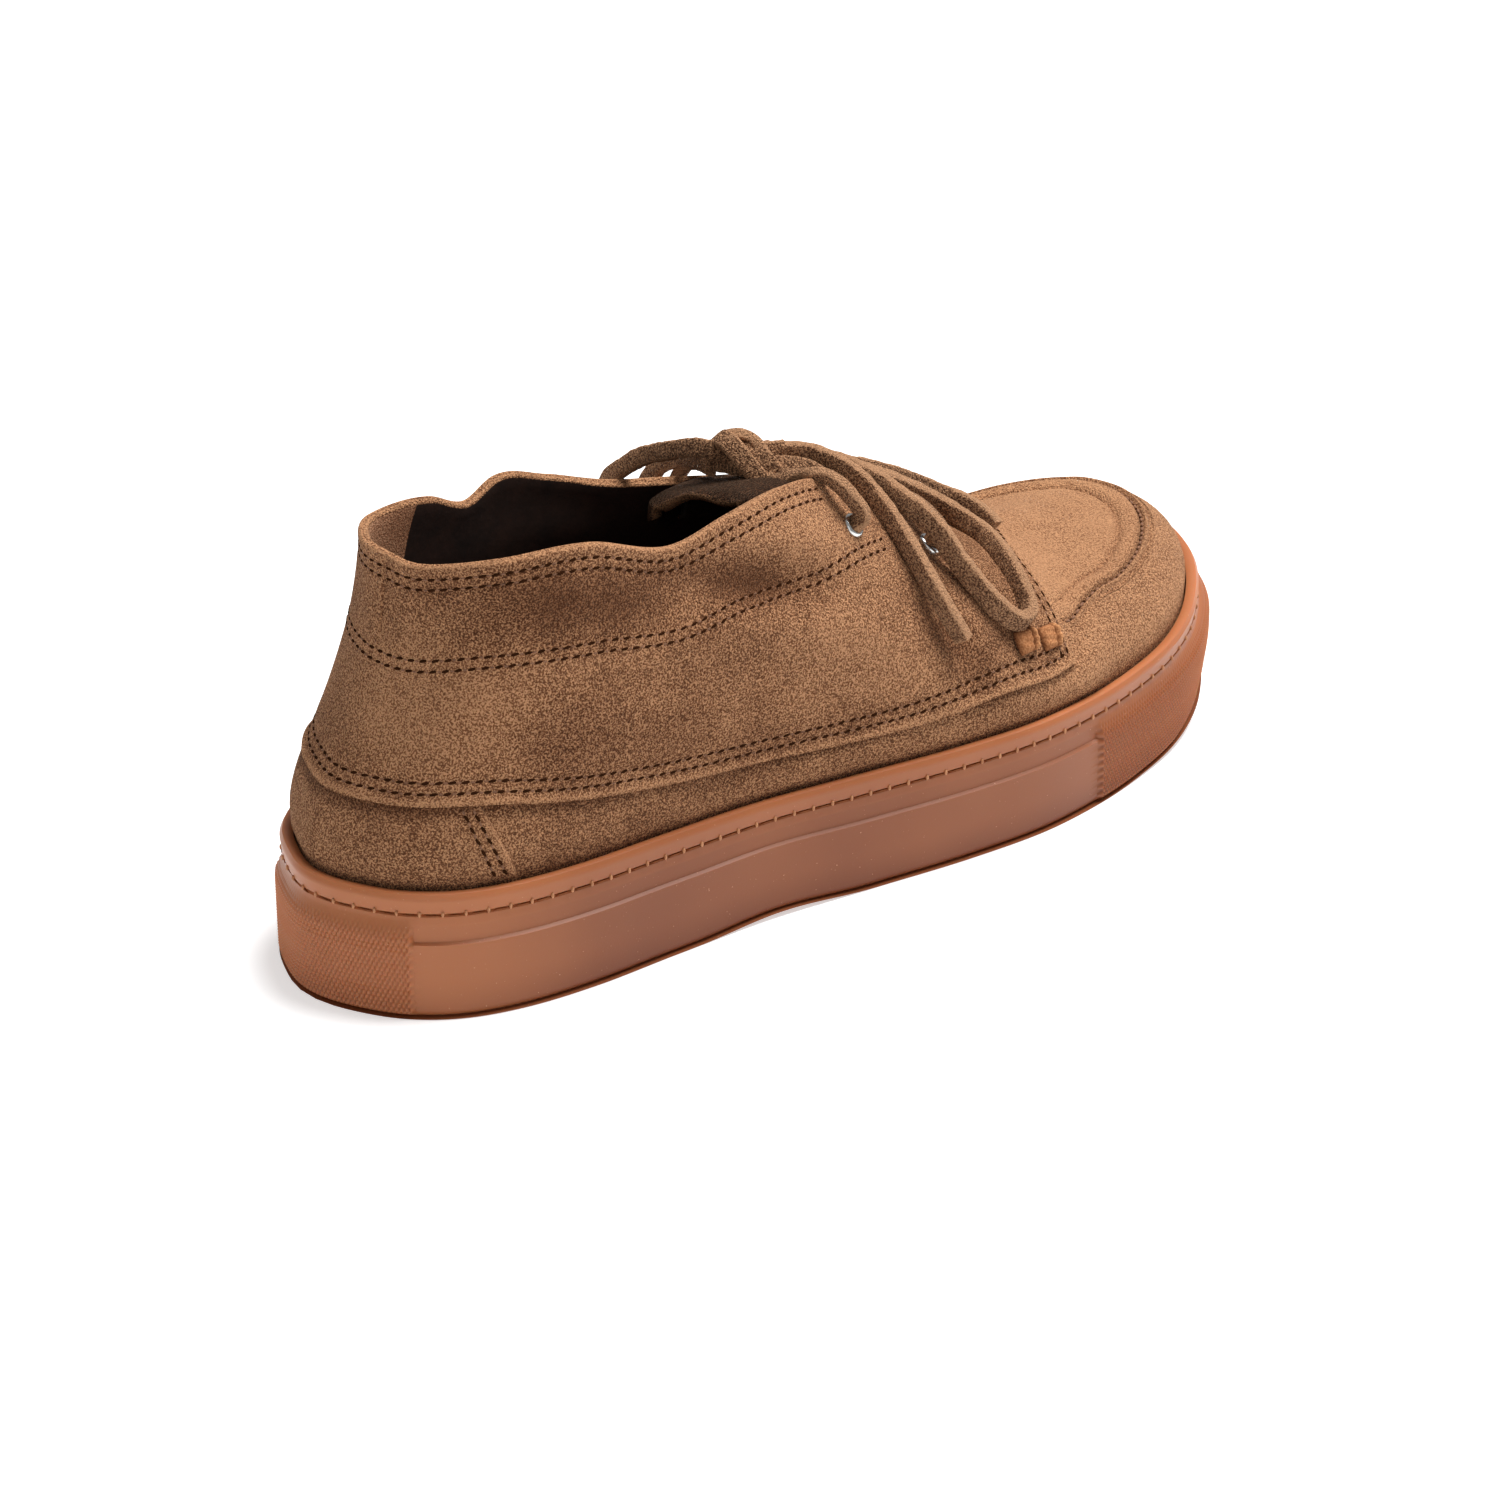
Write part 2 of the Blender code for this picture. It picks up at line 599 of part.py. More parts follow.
def cut_tread(sole):
    """Cross grooves under the heel and the ball, inside a plain border."""
    points = []
    faces = []
    for start, end in TREAD_ZONES:
        count = int((end - start) * LENGTH / TREAD_PITCH) + 1
        for i in range(count):
            x = LENGTH * (start - 0.5) + TREAD_PITCH * i
            turn = turn_of(x / LENGTH + 0.5)
            lateral = outline(np.array([turn]))[0, 1] + TREAD_BORDER
            medial = outline(np.array([2 * math.pi - turn]))[0, 1] - TREAD_BORDER
            top = float(bottom_height(x)) + TREAD_DEPTH
            first = len(points)
            points += box_points((x - TREAD_GROOVE / 2, lateral, -TREAD_DEPTH), (x + TREAD_GROOVE / 2, medial, top))
            faces += [tuple(first + n for n in face) for face in BOX_FACES]
    cut(sole, "tread_cutter", points, faces)


def cut(target, name, points, faces):
    cutter = new_object(name, points, faces, target.data.materials[0])
    cutter.hide_render = True
    cutter.display_type = "WIRE"
    modifier = target.modifiers.new(name, "BOOLEAN")
    modifier.operation = "DIFFERENCE"
    modifier.solver = "EXACT"
    modifier.object = cutter


def make_insole(material):
    """Plate on the cup floor, a gap inside the upper, its rim raised a little."""
    turns = np.linspace(0, 2 * math.pi, INSOLE_COLUMNS, endpoint=False)
    inset = CUP_WALL + CUP_GAP + WALL + 2 * GAP
    low = outline(turns, inset)
    top = outline(turns, inset + INSOLE_TAPER)
    ledge = outline(turns, inset + INSOLE_RIM)
    points = [(x, y, h + GAP) for (x, y), h in zip(low, floor_height(low[:, 0]))]
    points += [(x, y, h + GAP + INSOLE + INSOLE_CUP) for (x, y), h in zip(top, floor_height(top[:, 0]))]
    points += [(x, y, h + GAP + INSOLE) for (x, y), h in zip(ledge, floor_height(ledge[:, 0]))]
    faces = strip_faces(3, len(turns), closed_columns=True)
    count = len(turns)
    upper_ring = list(range(2 * count, 3 * count))
    span_ring(points, faces, list(range(count)), lambda x: floor_height(x) + GAP, INSOLE_SPAN)
    span_ring(points, faces, upper_ring, lambda x: floor_height(x) + GAP + INSOLE, INSOLE_SPAN, flip=True)
    return new_object("insole", points, faces, material)


def tongue_row(along):
    """One row across the tongue: under the lateral quarter, over the throat, under the medial."""
    lateral_turn = float(turn_of(along))
    rows = []
    for turn in (lateral_turn, 2 * math.pi - lateral_turn):
        share = np.linspace(TONGUE_UNDERLAP, 1.0, TONGUE_SIDE_POINTS)
        turns = np.full(TONGUE_SIDE_POINTS, turn)
        points = wall_point(turns, share)
        normal = surface_normal(turns, share, wall_point)
        sink = WALL + TONGUE_CLEAR + TONGUE_SINK * (1 - share) / (1 - TONGUE_UNDERLAP)
        rows.append(points - normal * sink[:, None])
    lateral, medial = rows
    span = np.linalg.norm(medial[-1] - lateral[-1])
    leave = (lateral[-1] - lateral[-2]) / np.linalg.norm(lateral[-1] - lateral[-2]) * span * TONGUE_CROWN
    arrive = (medial[-2] - medial[-1]) / np.linalg.norm(medial[-1] - medial[-2]) * span * TONGUE_CROWN
    t = np.linspace(0, 1, TONGUE_BRIDGE_POINTS + 2)[1:-1, None]
    bridge = ((2 * t ** 3 - 3 * t ** 2 + 1) * lateral[-1] + (t ** 3 - 2 * t ** 2 + t) * leave
              + (3 * t ** 2 - 2 * t ** 3) * medial[-1] + (t ** 3 - t ** 2) * arrive)
    return np.concatenate([lateral, bridge, medial[::-1]])


def tongue_rows():
    rows = [tongue_row(along) for along in TONGUE_ROWS]
    first = rows[0]
    centre = first.mean(axis=0)
    top = []
    for rise, back, width in TONGUE_TOP:
        moved = (first - centre) * np.array([1.0, width, width]) + centre
        moved = moved + np.array([-back * TONGUE_LENGTH, TONGUE_LEAN * back, rise * TONGUE_LENGTH])
        top.append(moved)
    return np.array(top[::-1] + rows)


def make_tongue(material):
    grid = tongue_rows()
    down = np.gradient(grid, axis=0)
    across = np.gradient(grid, axis=1)
    normal = np.cross(across, down)
    normal /= np.linalg.norm(normal, axis=-1, keepdims=True)
    if normal[..., 2].mean() < 0:
        normal = -normal
    lower = grid - normal * TONGUE
    rows, columns = grid.shape[:2]
    faces = strip_faces(rows, columns)
    total = rows * columns
    faces += [tuple(total + n for n in reversed(face)) for face in strip_faces(rows, columns)]
    edge = [c for c in range(columns)] + [r * columns + columns - 1 for r in range(1, rows)]
    edge += [(rows - 1) * columns + c for c in range(columns - 2, -1, -1)]
    edge += [r * columns for r in range(rows - 2, 0, -1)]
    for one, two in zip(edge, edge[1:] + edge[:1]):
        faces.append((two, one, total + one, total + two))
    points = np.concatenate([grid.reshape(-1, 3), lower.reshape(-1, 3)])
    return new_object("tongue", points, faces, material)


def eyelet_frame(side, along, up):
    turn = np.array([float(turn_of(along))])
    if side == "medial":
        turn = 2 * math.pi - turn
    share = np.array([up])
    point = wall_point(turn, share)[0]
    normal = surface_normal(turn, share, wall_point)[0]
    return Vector(point), Vector(normal)


def circle(centre, turn, radius, height):
    """Points of a circle in an eyelet's frame."""
    points = []
    for s in range(EYELET_SEGMENTS):
        angle = 2 * math.pi * s / EYELET_SEGMENTS
        points.append(centre + turn @ Vector((radius * math.cos(angle), radius * math.sin(angle), height)))
    return points


def make_eyelets(upper, material):
    """Four rolled eyelets, each in a hole through the quarter."""
    bore = EYELET_BORE / 2
    barrel = EYELET_BARREL / 2
    flange = EYELET_OUTER / 2
    outside = PANEL_STEP + GAP + EYELET_SEAT
    inside = -WALL - GAP - EYELET_SEAT
    profile = ((bore, inside - EYELET_RIM), (flange - EYELET_RIM, inside - EYELET_RIM),
               (flange - EYELET_RIM, inside), (barrel, inside), (barrel, outside), (flange, outside),
               (flange - EYELET_RIM / 3, outside + EYELET_RIM), (bore, outside + EYELET_RIM / 2))
    hole_points = []
    hole_faces = []
    for side in ("lateral", "medial"):
        for name, along, up in EYELETS:
            centre, normal = eyelet_frame(side, along, up)
            turn = Vector((0, 0, 1)).rotation_difference(normal)
            points = []
            for radius, height in profile:
                points += circle(centre, turn, radius, height)
            faces = strip_faces(len(profile), EYELET_SEGMENTS, closed_columns=True, closed_rows=True)
            new_object(f"eyelet_{side}_{name}", points, faces, material)
            first = len(hole_points)
            for height in (-2 * WALL, 2 * PANEL_STEP):
                hole_points += circle(centre, turn, barrel + GAP, height)
            walls = strip_faces(2, EYELET_SEGMENTS, closed_columns=True)
            hole_faces += [tuple(first + n for n in face) for face in walls]
            hole_faces.append(tuple(first + n for n in range(EYELET_SEGMENTS)))
            hole_faces.append(tuple(first + EYELET_SEGMENTS + n for n in reversed(range(EYELET_SEGMENTS))))
    cut(upper, "eyelet_cutter", hole_points, hole_faces)


def pad_ring(centre, forward, across, reach):
    """Points round a pad with rounded corners, as a share of its full size."""
    points = []
    for s in range(THONG_SEGMENTS):
        angle = 2 * math.pi * s / THONG_SEGMENTS
        along = math.copysign(abs(math.cos(angle)) ** THONG_SQUARENESS, math.cos(angle)) * reach * THONG_LENGTH / 2
        side = math.copysign(abs(math.sin(angle)) ** THONG_SQUARENESS, math.sin(angle)) * reach * THONG_WIDTH / 2
        points.append(centre + forward * along + across * side)
    return points


def make_thongs(material):
    """Two puffed bits of leather thong on each quarter, just behind its front edge."""
    base = PANEL_STEP + GAP
    for side in ("lateral", "medial"):
        for name, along, up in THONG_PADS:
            centre, normal = eyelet_frame(side, along, up)
            forward = Vector((1, 0, 0))
            forward = (forward - normal * forward.dot(normal)).normalized()
            across = normal.cross(forward)
            points = [centre + normal * (base + THONG_HEIGHT)]
            for ring in range(1, THONG_RINGS + 1):
                angle = 0.5 * math.pi * ring / THONG_RINGS
                height = base + THONG_EDGE + (THONG_HEIGHT - THONG_EDGE) * math.cos(angle)
                points += pad_ring(centre + normal * height, forward, across, math.sin(angle))
            points += pad_ring(centre + normal * base, forward, across, 1.0)
            faces = [(0, 1 + s, 1 + (s + 1) % THONG_SEGMENTS) for s in range(THONG_SEGMENTS)]
            faces += [tuple(1 + n for n in face)
                      for face in strip_faces(THONG_RINGS + 1, THONG_SEGMENTS, closed_columns=True)]
            faces.append(tuple(1 + THONG_RINGS * THONG_SEGMENTS + s for s in reversed(range(THONG_SEGMENTS))))
            new_object(f"thong_{side}_{name}", points, faces, material)


def make_lace(name, route, material):
    """Round lace along a smooth curve through its route, with filled ends."""
    stops = np.array(route) * MM
    run = np.concatenate([[0], np.cumsum(np.linalg.norm(np.diff(stops, axis=0), axis=1))])
    count = int(run[-1] / (LACE * LACE_SPACING)) + 2
    places = np.linspace(0, run[-1], count)
    points = np.stack([curve_through(places, run, stops[:, axis]) for axis in range(3)], -1)
    curve = bpy.data.curves.new(name, "CURVE")
    curve.dimensions = "3D"
    curve.bevel_depth = LACE / 2
    curve.bevel_resolution = 2
    curve.use_fill_caps = True
    spline = curve.splines.new("POLY")
    spline.points.add(len(points) - 1)
    for slot, point in zip(spline.points, points):
        slot.co = (*point, 1.0)
    spline.use_smooth = True
    curve.materials.append(material)
    item = bpy.data.objects.new(name, curve)
    bpy.context.scene.collection.objects.link(item)
    return item


def make_knot(material):
    work = bmesh.new()
    bmesh.ops.create_uvsphere(work, u_segments=12, v_segments=8, radius=MM)
    bmesh.ops.scale(work, vec=KNOT_SIZE, verts=work.verts)
    bmesh.ops.translate(work, vec=Vector(KNOT_CENTRE) * MM, verts=work.verts)
    mesh = bpy.data.meshes.new("lace_knot")
    work.to_mesh(mesh)
    work.free()
    mesh.materials.append(material)
    mesh.shade_smooth()
    item = bpy.data.objects.new("lace_knot", mesh)
    bpy.context.scene.collection.objects.link(item)


def main():
    clear_scene()
    gum = new_material("gum_rubber", (0.47, 0.20, 0.10), 0.38)
    suede = new_material("suede", (0.30, 0.16, 0.085), 0.95)
    lining = new_material("lining", (0.06, 0.035, 0.025), 0.9)
    nickel = new_material("eyelet_nickel", (0.62, 0.62, 0.60), 0.28, 1.0)
    thong = new_material("thong_leather", (0.34, 0.15, 0.06), 0.45)
    lace = new_material("lace_suede", (0.17, 0.085, 0.045), 0.9)
    make_outsole(gum)
    upper = make_upper(suede)
    make_insole(lining)
    make_tongue(suede)
    make_eyelets(upper, nickel)
    make_thongs(thong)
    make_knot(lace)
    for name, route in LACE_ROUTES:
        make_lace(name, route, lace)


main()
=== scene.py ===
"""Looks of the suede moc-toe chukka shoe: fine surfaces, laces, stitches and finishes.

The frame is the row's own: the origin is on the floor at mid-length of the sole, +X is the
toe, +Z is up and +Y is the inner (medial) side. Sizes are in metres. Tables hold shares of the
named sizes, as in the part's source.
"""
import math

import bmesh
import bpy
import numpy as np
from mathutils import Matrix, Vector


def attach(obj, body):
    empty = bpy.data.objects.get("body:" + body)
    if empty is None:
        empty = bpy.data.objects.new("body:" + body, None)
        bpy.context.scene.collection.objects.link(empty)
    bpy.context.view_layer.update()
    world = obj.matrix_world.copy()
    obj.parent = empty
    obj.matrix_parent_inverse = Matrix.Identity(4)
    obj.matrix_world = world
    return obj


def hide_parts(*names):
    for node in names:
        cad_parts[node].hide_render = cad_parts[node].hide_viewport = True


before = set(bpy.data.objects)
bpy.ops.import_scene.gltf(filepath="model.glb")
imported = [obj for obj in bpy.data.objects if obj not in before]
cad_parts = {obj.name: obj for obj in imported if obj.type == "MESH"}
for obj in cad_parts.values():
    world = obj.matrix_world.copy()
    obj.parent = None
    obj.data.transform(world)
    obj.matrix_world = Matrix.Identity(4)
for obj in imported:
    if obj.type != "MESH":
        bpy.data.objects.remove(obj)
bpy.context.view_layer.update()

MM = 0.001
SMALL_TURN = 0.001
BODY = "root"

# Driving dimensions, as in the part's source
LENGTH = 0.300
BALL_WIDTH = 0.108
COLLAR_HEIGHT = 0.110
GAP = 0.0003
CUP_GAP = 0.00045
HEEL_SIDE = 0.0339
TOE_SIDE = 0.0288
TOE_SPRING = 0.008
SPRING_START = 0.72
ARCH_RISE = 0.0012
ARCH_START = 0.29
ARCH_END = 0.47
CUP_WALL = 0.0040
HEEL_FLOOR = 0.0185
TOE_FLOOR = 0.0130
BUMPER_PROUD = 0.0008
BUMPER_TOP = 0.735
HEEL_BUMPER_END = 0.038
TOE_BUMPER_START = 0.720
TOE_FLARE_START = 0.84
TOE_FLARE_FULL = 0.96
TREAD_DEPTH = 0.0020
TREAD_GROOVE = 0.0030
TREAD_PITCH = 0.0125
TREAD_BORDER = 0.0090
TREAD_ZONES = ((0.07, 0.27), (0.54, 0.87))
FLOOR_RUN = 0.7
FLOOR_BEND = 1.5
WALL = 0.0016
PANEL_STEP = 0.0011
COUNTER_STEP = 0.0008
STEP_RUN = 0.0005
COUNTER_EDGE = 0.092
COUNTER_SLANT = 0.043
FRONT_EDGE_LOW = 0.705
FRONT_EDGE_TOP = 0.790
FRONT_EDGE_BEND = 6
SEAM_START = 0.15
SEAM_LEVEL = 0.765
LIP_BULGE = 0.0015
TOE_BULGE = 0.0030
LIP_SHARE = 0.3
TOE_EASE = 4.0
TOE_EASE_START = 0.35
TOE_LEAD = 0.03
TOE_RUN = 0.05
INSOLE = 0.0045
INSOLE_CUP = 0.0012
TONGUE = 0.0022
TONGUE_LENGTH = 0.016
TONGUE_UNDERLAP = 0.82
TONGUE_CLEAR = 0.0005
TONGUE_SINK = 0.0030
TONGUE_CROWN = 0.30
TONGUE_LEAN = -0.002
EYELET_OUTER = 0.0068
EYELET_BORE = 0.0036
THONG_LENGTH = 0.0068
THONG_WIDTH = 0.0056
THONG_HEIGHT = 0.0022

# Fine surface of the upper: its columns and rows, soft unevenness and crease
COUNTER_COLUMNS = 44
QUARTER_COLUMNS = 170
TOE_COLUMNS = 92
RIM_STEPS = 6
FOOT_SHARES = (0.0, 0.2, 0.3, 0.34, 0.38, 0.44, 0.52, 0.60, 0.68, 0.76, 0.84, 0.90, 0.95, 1.0)
WALL_SHARES = (-0.012, 0.0, 0.006, *np.round(np.arange(0.014, 0.26, 0.008), 4), *np.linspace(0.264, 1.0, 68))
INNER_SHARES = tuple(np.linspace(0.0, 1.0, 18))
INNER_FOOT_SHARES = (1.0, 0.6, LIP_SHARE, 0.0)
SLOPE_SHARE = 0.02
HEM_TUCK = 0.25
HEEL_PATCH = 0.165
UPPER_SHARP = 50
RIPPLE_WAVES = 9
SOFT_SIZE = 0.034
SOFT_HEIGHT = 0.00022
WALL_SEED = 3
FOOT_SEED = 5
CREASE_AT = 0.206
CREASE_WIDTH = 0.013
CREASE_DEPTH = 0.0016
CREASE_LATERAL = 0.25
CREASE_FADE = 0.45
EDGE_FLARE = 0.0006
EDGE_FLARE_RUN = 0.022
FRONT_FLARE_TURN = 0.018
FRONT_FLARE_END = (0.6, 0.9)
COUNTER_FLARE = 0.0004
COUNTER_FLARE_TURN = 0.016
COUNTER_RUN = 0.1
PUCKER = 0.00028
PUCKER_WIDTH = 0.0008
RIM_GROOVE = 0.0005
RIM_GROOVE_WIDTH = 0.12

# Tones of the upper, added to the tone that its points carry: raw edges lighter, and painted light and shade
FOOT_TONE = -0.06
# Painted shade darkens the walls; painted light brightens the apron and the toe, which face the light
WALL_PAINTED_SHADE = -0.07
APRON_PAINTED_LIGHT = 0.40
APRON_SPAN = (-0.1, 0.25)
TOE_PAINTED_LIGHT = 0.26
AHEAD = (-0.26, 0.10)
EDGE_TONE = 0.34
EDGE_BAND = (0.003, 0.012)
# Painted shadow on the strip just under the quarter's lower edge, fading out ahead of its corner
PAINTED_SHADOW_UNDER_QUARTER = 0.46
PAINTED_SHADOW_SPAN = (0.84, 1.0)
# Painted shade low on the upper, where it meets the sole's lip
UPPER_LIP_PAINTED_SHADE = 0.14
UPPER_LIP_PAINTED_SHADE_END = 0.5
# Painted light on the collar band, which faces up
COLLAR_PAINTED_LIGHT = 0.10
COLLAR_SPAN = (0.9, 1.0)
RIM_TONE = 0.42
RIM_DARK = 0.15
# Painted light on the moc seam's ridge, painted shade in its groove and in the crease across the vamp
SEAM_PAINTED_LIGHT_AND_SHADE = (
    # painted light above 0 and painted shade below it, share up the apron, width
    (0.10, 0.036, 0.012),
    (-0.30, 0.064, 0.010),
    (-0.22, CREASE_AT, CREASE_WIDTH),
)

# Fine surface of the sole, and its tones with painted light and shade
MIDDLE_SOLE_COLUMNS = 70
EVEN_SAMPLES = 2000
SOLE_ROW = 0.022
SOLE_SHARP = 38
KNURL_PITCH = 0.00125
KNURL_SAMPLES = 4
KNURL_ROW = 0.072
KNURL_ROW_SAMPLES = 6
KNURL_HEIGHT = 0.00042
KNURL_FLOOR = -0.7
KNURL_RISE = (0.02, 0.05)
BUMPER_RISE = (0.0, 0.06)
BUMPER_FADE = (0.62, 0.80)
SOLE_TONE = 0.28
# Painted light brightens the heel and toe ends of the sole
SOLE_HEEL_PAINTED_LIGHT = 0.52
SOLE_HEEL_PAINTED_LIGHT_SPAN = (0.03, 0.2)
SOLE_TOE_PAINTED_LIGHT = 0.26
SOLE_TOE_PAINTED_LIGHT_SPAN = (0.75, 1.0)
# Painted light on the stud tops and painted shade between them
STUD_PAINTED_LIGHT = 0.30
# Painted light on the gum's thin lip and the band below it, where light shows through
LIP_PAINTED_LIGHT = 0.32
LIP_SPAN = (0.80, 0.86)
BAND_PAINTED_LIGHT = 0.12
BAND_RUN = 0.02
# Painted shade low on the sole's side, near the floor
SOLE_FOOT_PAINTED_SHADE = 0.2
SOLE_FOOT_END = 0.35
# Painted light on the lip's top, which faces up
LIP_TOP_PAINTED_LIGHT = 0.75
CUP_TONE = 0.2
LIP_ROWS = (
    # share of CUP_WALL, height over the lip
    (0.45, 0.0002),
    (0.80, 0.0),
    (1.00, -0.0004),
)
PLATE_ROWS = 260
PLATE_COLUMNS = 40
PLATE_ENDS = 0.0006
TREAD_OVERLAP = 0.0010
TREAD_SIDES = (0.35, 0.6)
TREAD_FADE = 0.001
TREAD_TONE = 0.25
INSOLE_INSET = CUP_WALL + CUP_GAP + WALL + 2 * GAP
INSOLE_CUP_RUN = 0.008

# Tongue, eyelets and thong pads
TONGUE_FINE_ROWS = 46
TONGUE_FREE_ROWS = 22
TONGUE_SIDE_POINTS = 8
TONGUE_BRIDGE_POINTS = 30
TONGUE_LAYERS = (0.0, 0.3, 1.0)
TONGUE_RIPPLE = 0.0002
TONGUE_RIPPLE_SIZE = 0.02
TONGUE_SEED = 11
TONGUE_WAVE = 0.0011
TONGUE_WAVES = 2.3
TONGUE_WAVE_ROWS = 8
# Painted shade over the tongue, which lies under the laces and the medial collar
TONGUE_PAINTED_SHADE = -0.66
TONGUE_PAINTED_SHADE_SPAN = (0.6, 1.6)
TONGUE_EDGE_ROWS = 0.8
EYELET_ROUND = 8
EYELET_SEGMENTS = 36
EYELET_DOME = 0.0009
EYELET_LEAD = 0.0002
EYELET_SKIRT = 0.0009
THONG_GRID = 34
THONG_SPREAD = 1.16
THONG_SINK = 0.0004
THONG_TONE = 0.26
# Painted shade where the pad's pinched ends dive under the quarter
THONG_END_PAINTED_SHADE = 0.55
THONG_PINCH = 0.08
THONG_MARKS = (
    # slant, place along, width, height as a share of the pad's, painted light above 0 and painted shade below it
    (0.08, 0.66, 0.13, 0.45, 0.30),
    (0.10, 0.36, 0.09, -0.35, -0.35),
)

# Laces: square-cut suede thong
LACE_WIDTH = 0.0052
LACE_THICK = 0.0033
LACE_STEP = 0.0009
LACE_EASE = 6
LACE_SIDES = 16
LACE_SQUARE = 0.42
LACE_CORNER = 1.1
LACE_WOBBLE = 0.10
LACE_UNEVEN = 0.05
LACE_ROUGH = 0.00005
LACE_PHASE = 6.28
LACE_EDGE_TONE = 0.55
LACE_SHARP = 60
LACE_SEED = 21
KNOT_SEED = 41
LACE_WAVES = (
    # length, share of the wobble
    (0.011, 0.5),
    (0.005, 0.3),
    (0.0026, 0.2),
)

# Stitches of the upper: thread over, needle holes between, the holes drawn as near-black grains of painted shade
STITCH_PITCH = 0.0033
STITCH_LENGTH = 0.0014
STITCH_THICK = 0.0007
STITCH_SUNK = 0.8
THREAD_SINK = 0.0002
THREAD_RISE = 0.00030
HOLE_LENGTH = 0.0021
HOLE_WIDTH = 0.0008
HOLE_TILT = 0.16
HOLE_RISE = 0.00020
ROW_GAP = 0.0027
EDGE_GAP = 0.0024
ROW_GAPS = (EDGE_GAP, EDGE_GAP + ROW_GAP)
EDGE_TURN = 0.025
COLLAR_ROW_END = 0.50
COUNTER_RADIUS = 0.085
FRONT_ROW_SPAN = (0.03, 0.90)
COUNTER_ROW_SPAN = (LIP_SHARE + 0.06, 0.96)
ROW_SAMPLES = 400
COLLAR_LINE_SAMPLES = 300
FRONT_ROW_SAMPLES = 160
COUNTER_ROW_SAMPLES = 60
WAY_STEP = 0.0004
MOC_STITCH = 0.062
MOC_PITCH = 0.0030
MOC_START = 0.06
MOC_LEAD = 0.02
MOC_SAMPLES = 700
MOC_THREAD_RISE = 0.00025
MOC_THREAD_HALF = (MOC_PITCH * 0.34, 0.00045, 0.00045)
MOC_HOLE_RISE = 0.0001
MOC_HOLE_HALF = (0.0006, 0.0006, 0.0003)
SOLE_PITCH = 0.0057
RING_SAMPLES = 1600
SOLE_STITCHES = (
    # name, share of the side's height, inset, half sizes, look, shift along as a share of the pitch
    ("sole_thread", 0.829, 0.0013, (SOLE_PITCH * 0.40, 0.00022, 0.0003), "sole_line", 0.5),
    ("sole_nubs", 0.845, 0.0008, (0.0004, 0.0008, 0.0004), "sole_thread", 0.0),
)

# Materials. Grains are scale, detail and roughness, then the limits stretched to 0..1 and the amount.
# Dents are scale, detail, roughness, strength and depth.
SUEDE_ROUGHNESS = 0.95
SUEDE_SPECULAR = 0.08
SHEEN_ROUGHNESS = 0.35
SHEEN_TINT = (1.0, 0.66, 0.42, 1.0)
SUEDE_CLOUDS = (
    (26.0, 3.0, 0.55, 0.30, 0.70, 0.25),
    (120.0, 3.0, 0.6, 0.32, 0.68, 0.15),
)
SUEDE_SPECKS = (2150.0, 2.0, 0.6, 0.42, 0.58, 0.82)
SUEDE_DENTS = (160.0, 2.0, 0.5, 0.4, 0.0008)
SUEDE_NAP = (1800.0, 2.0, 0.6)
SUEDE_NAP_DEPTH = 0.0018
GUM_ROUGHNESS = 0.42
GUM_CLOUDS = (18.0, 2.0, 0.5, 0.3, 0.7, 0.22)
GUM_SPECKS = (1700.0, 1.0, 0.4, 0.75, 0.84)
GUM_SPECK_COLOUR = (0.55, 0.26, 0.14)
GUM_DENTS = (
    (70.0, 2.0, 0.5, 0.15, 0.0006),
    (1700.0, 2.0, 0.5, 0.10, 0.00025),
)
MATT = 0.9

# Outline of the sole: share of LENGTH from the heel, half-widths as shares of BALL_WIDTH
OUTLINE = (
    # along, lateral, medial
    (0.000, 0.000, 0.000),
    (0.010, 0.120, 0.111),
    (0.033, 0.233, 0.224),
    (0.067, 0.317, 0.303),
    (0.117, 0.375, 0.352),
    (0.183, 0.408, 0.368),
    (0.267, 0.422, 0.361),
    (0.367, 0.444, 0.354),
    (0.467, 0.493, 0.366),
    (0.567, 0.542, 0.396),
    (0.650, 0.563, 0.431),
    (0.717, 0.549, 0.450),
    (0.783, 0.514, 0.455),
    (0.840, 0.468, 0.440),
    (0.893, 0.394, 0.408),
    (0.933, 0.308, 0.360),
    (0.967, 0.206, 0.286),
    (0.990, 0.090, 0.195),
    (1.000, -0.046, 0.046),
)

# Side of the sole, bottom to top: share of its height, how far it stands out, bumper or not,
# and how much further it stands out round the toe
SOLE_SIDE = (
    # height, proud, bumper, toe
    (0.000, -0.0012, 0, -0.0024),
    (0.030, -0.0002, 0, -0.0020),
    (0.060, 0.0000, 1, -0.0012),
    (0.250, 0.0000, 1, 0.0006),
    (0.450, 0.0000, 1, 0.0017),
    (0.600, 0.0000, 1, 0.0018),
    (0.615, -0.0009, 1, 0.0018),
    (BUMPER_TOP, -0.0010, 1, 0.0012),
    (BUMPER_TOP + 0.015, -0.0010, 0, 0.0006),
    (0.815, -0.0013, 0, 0.0002),
    (0.830, -0.0019, 0, 0.0),
    (0.850, -0.0010, 0, 0.0),
    (0.960, -0.0006, 0, 0.0),
    (1.000, -0.0013, 0, 0.0),
)

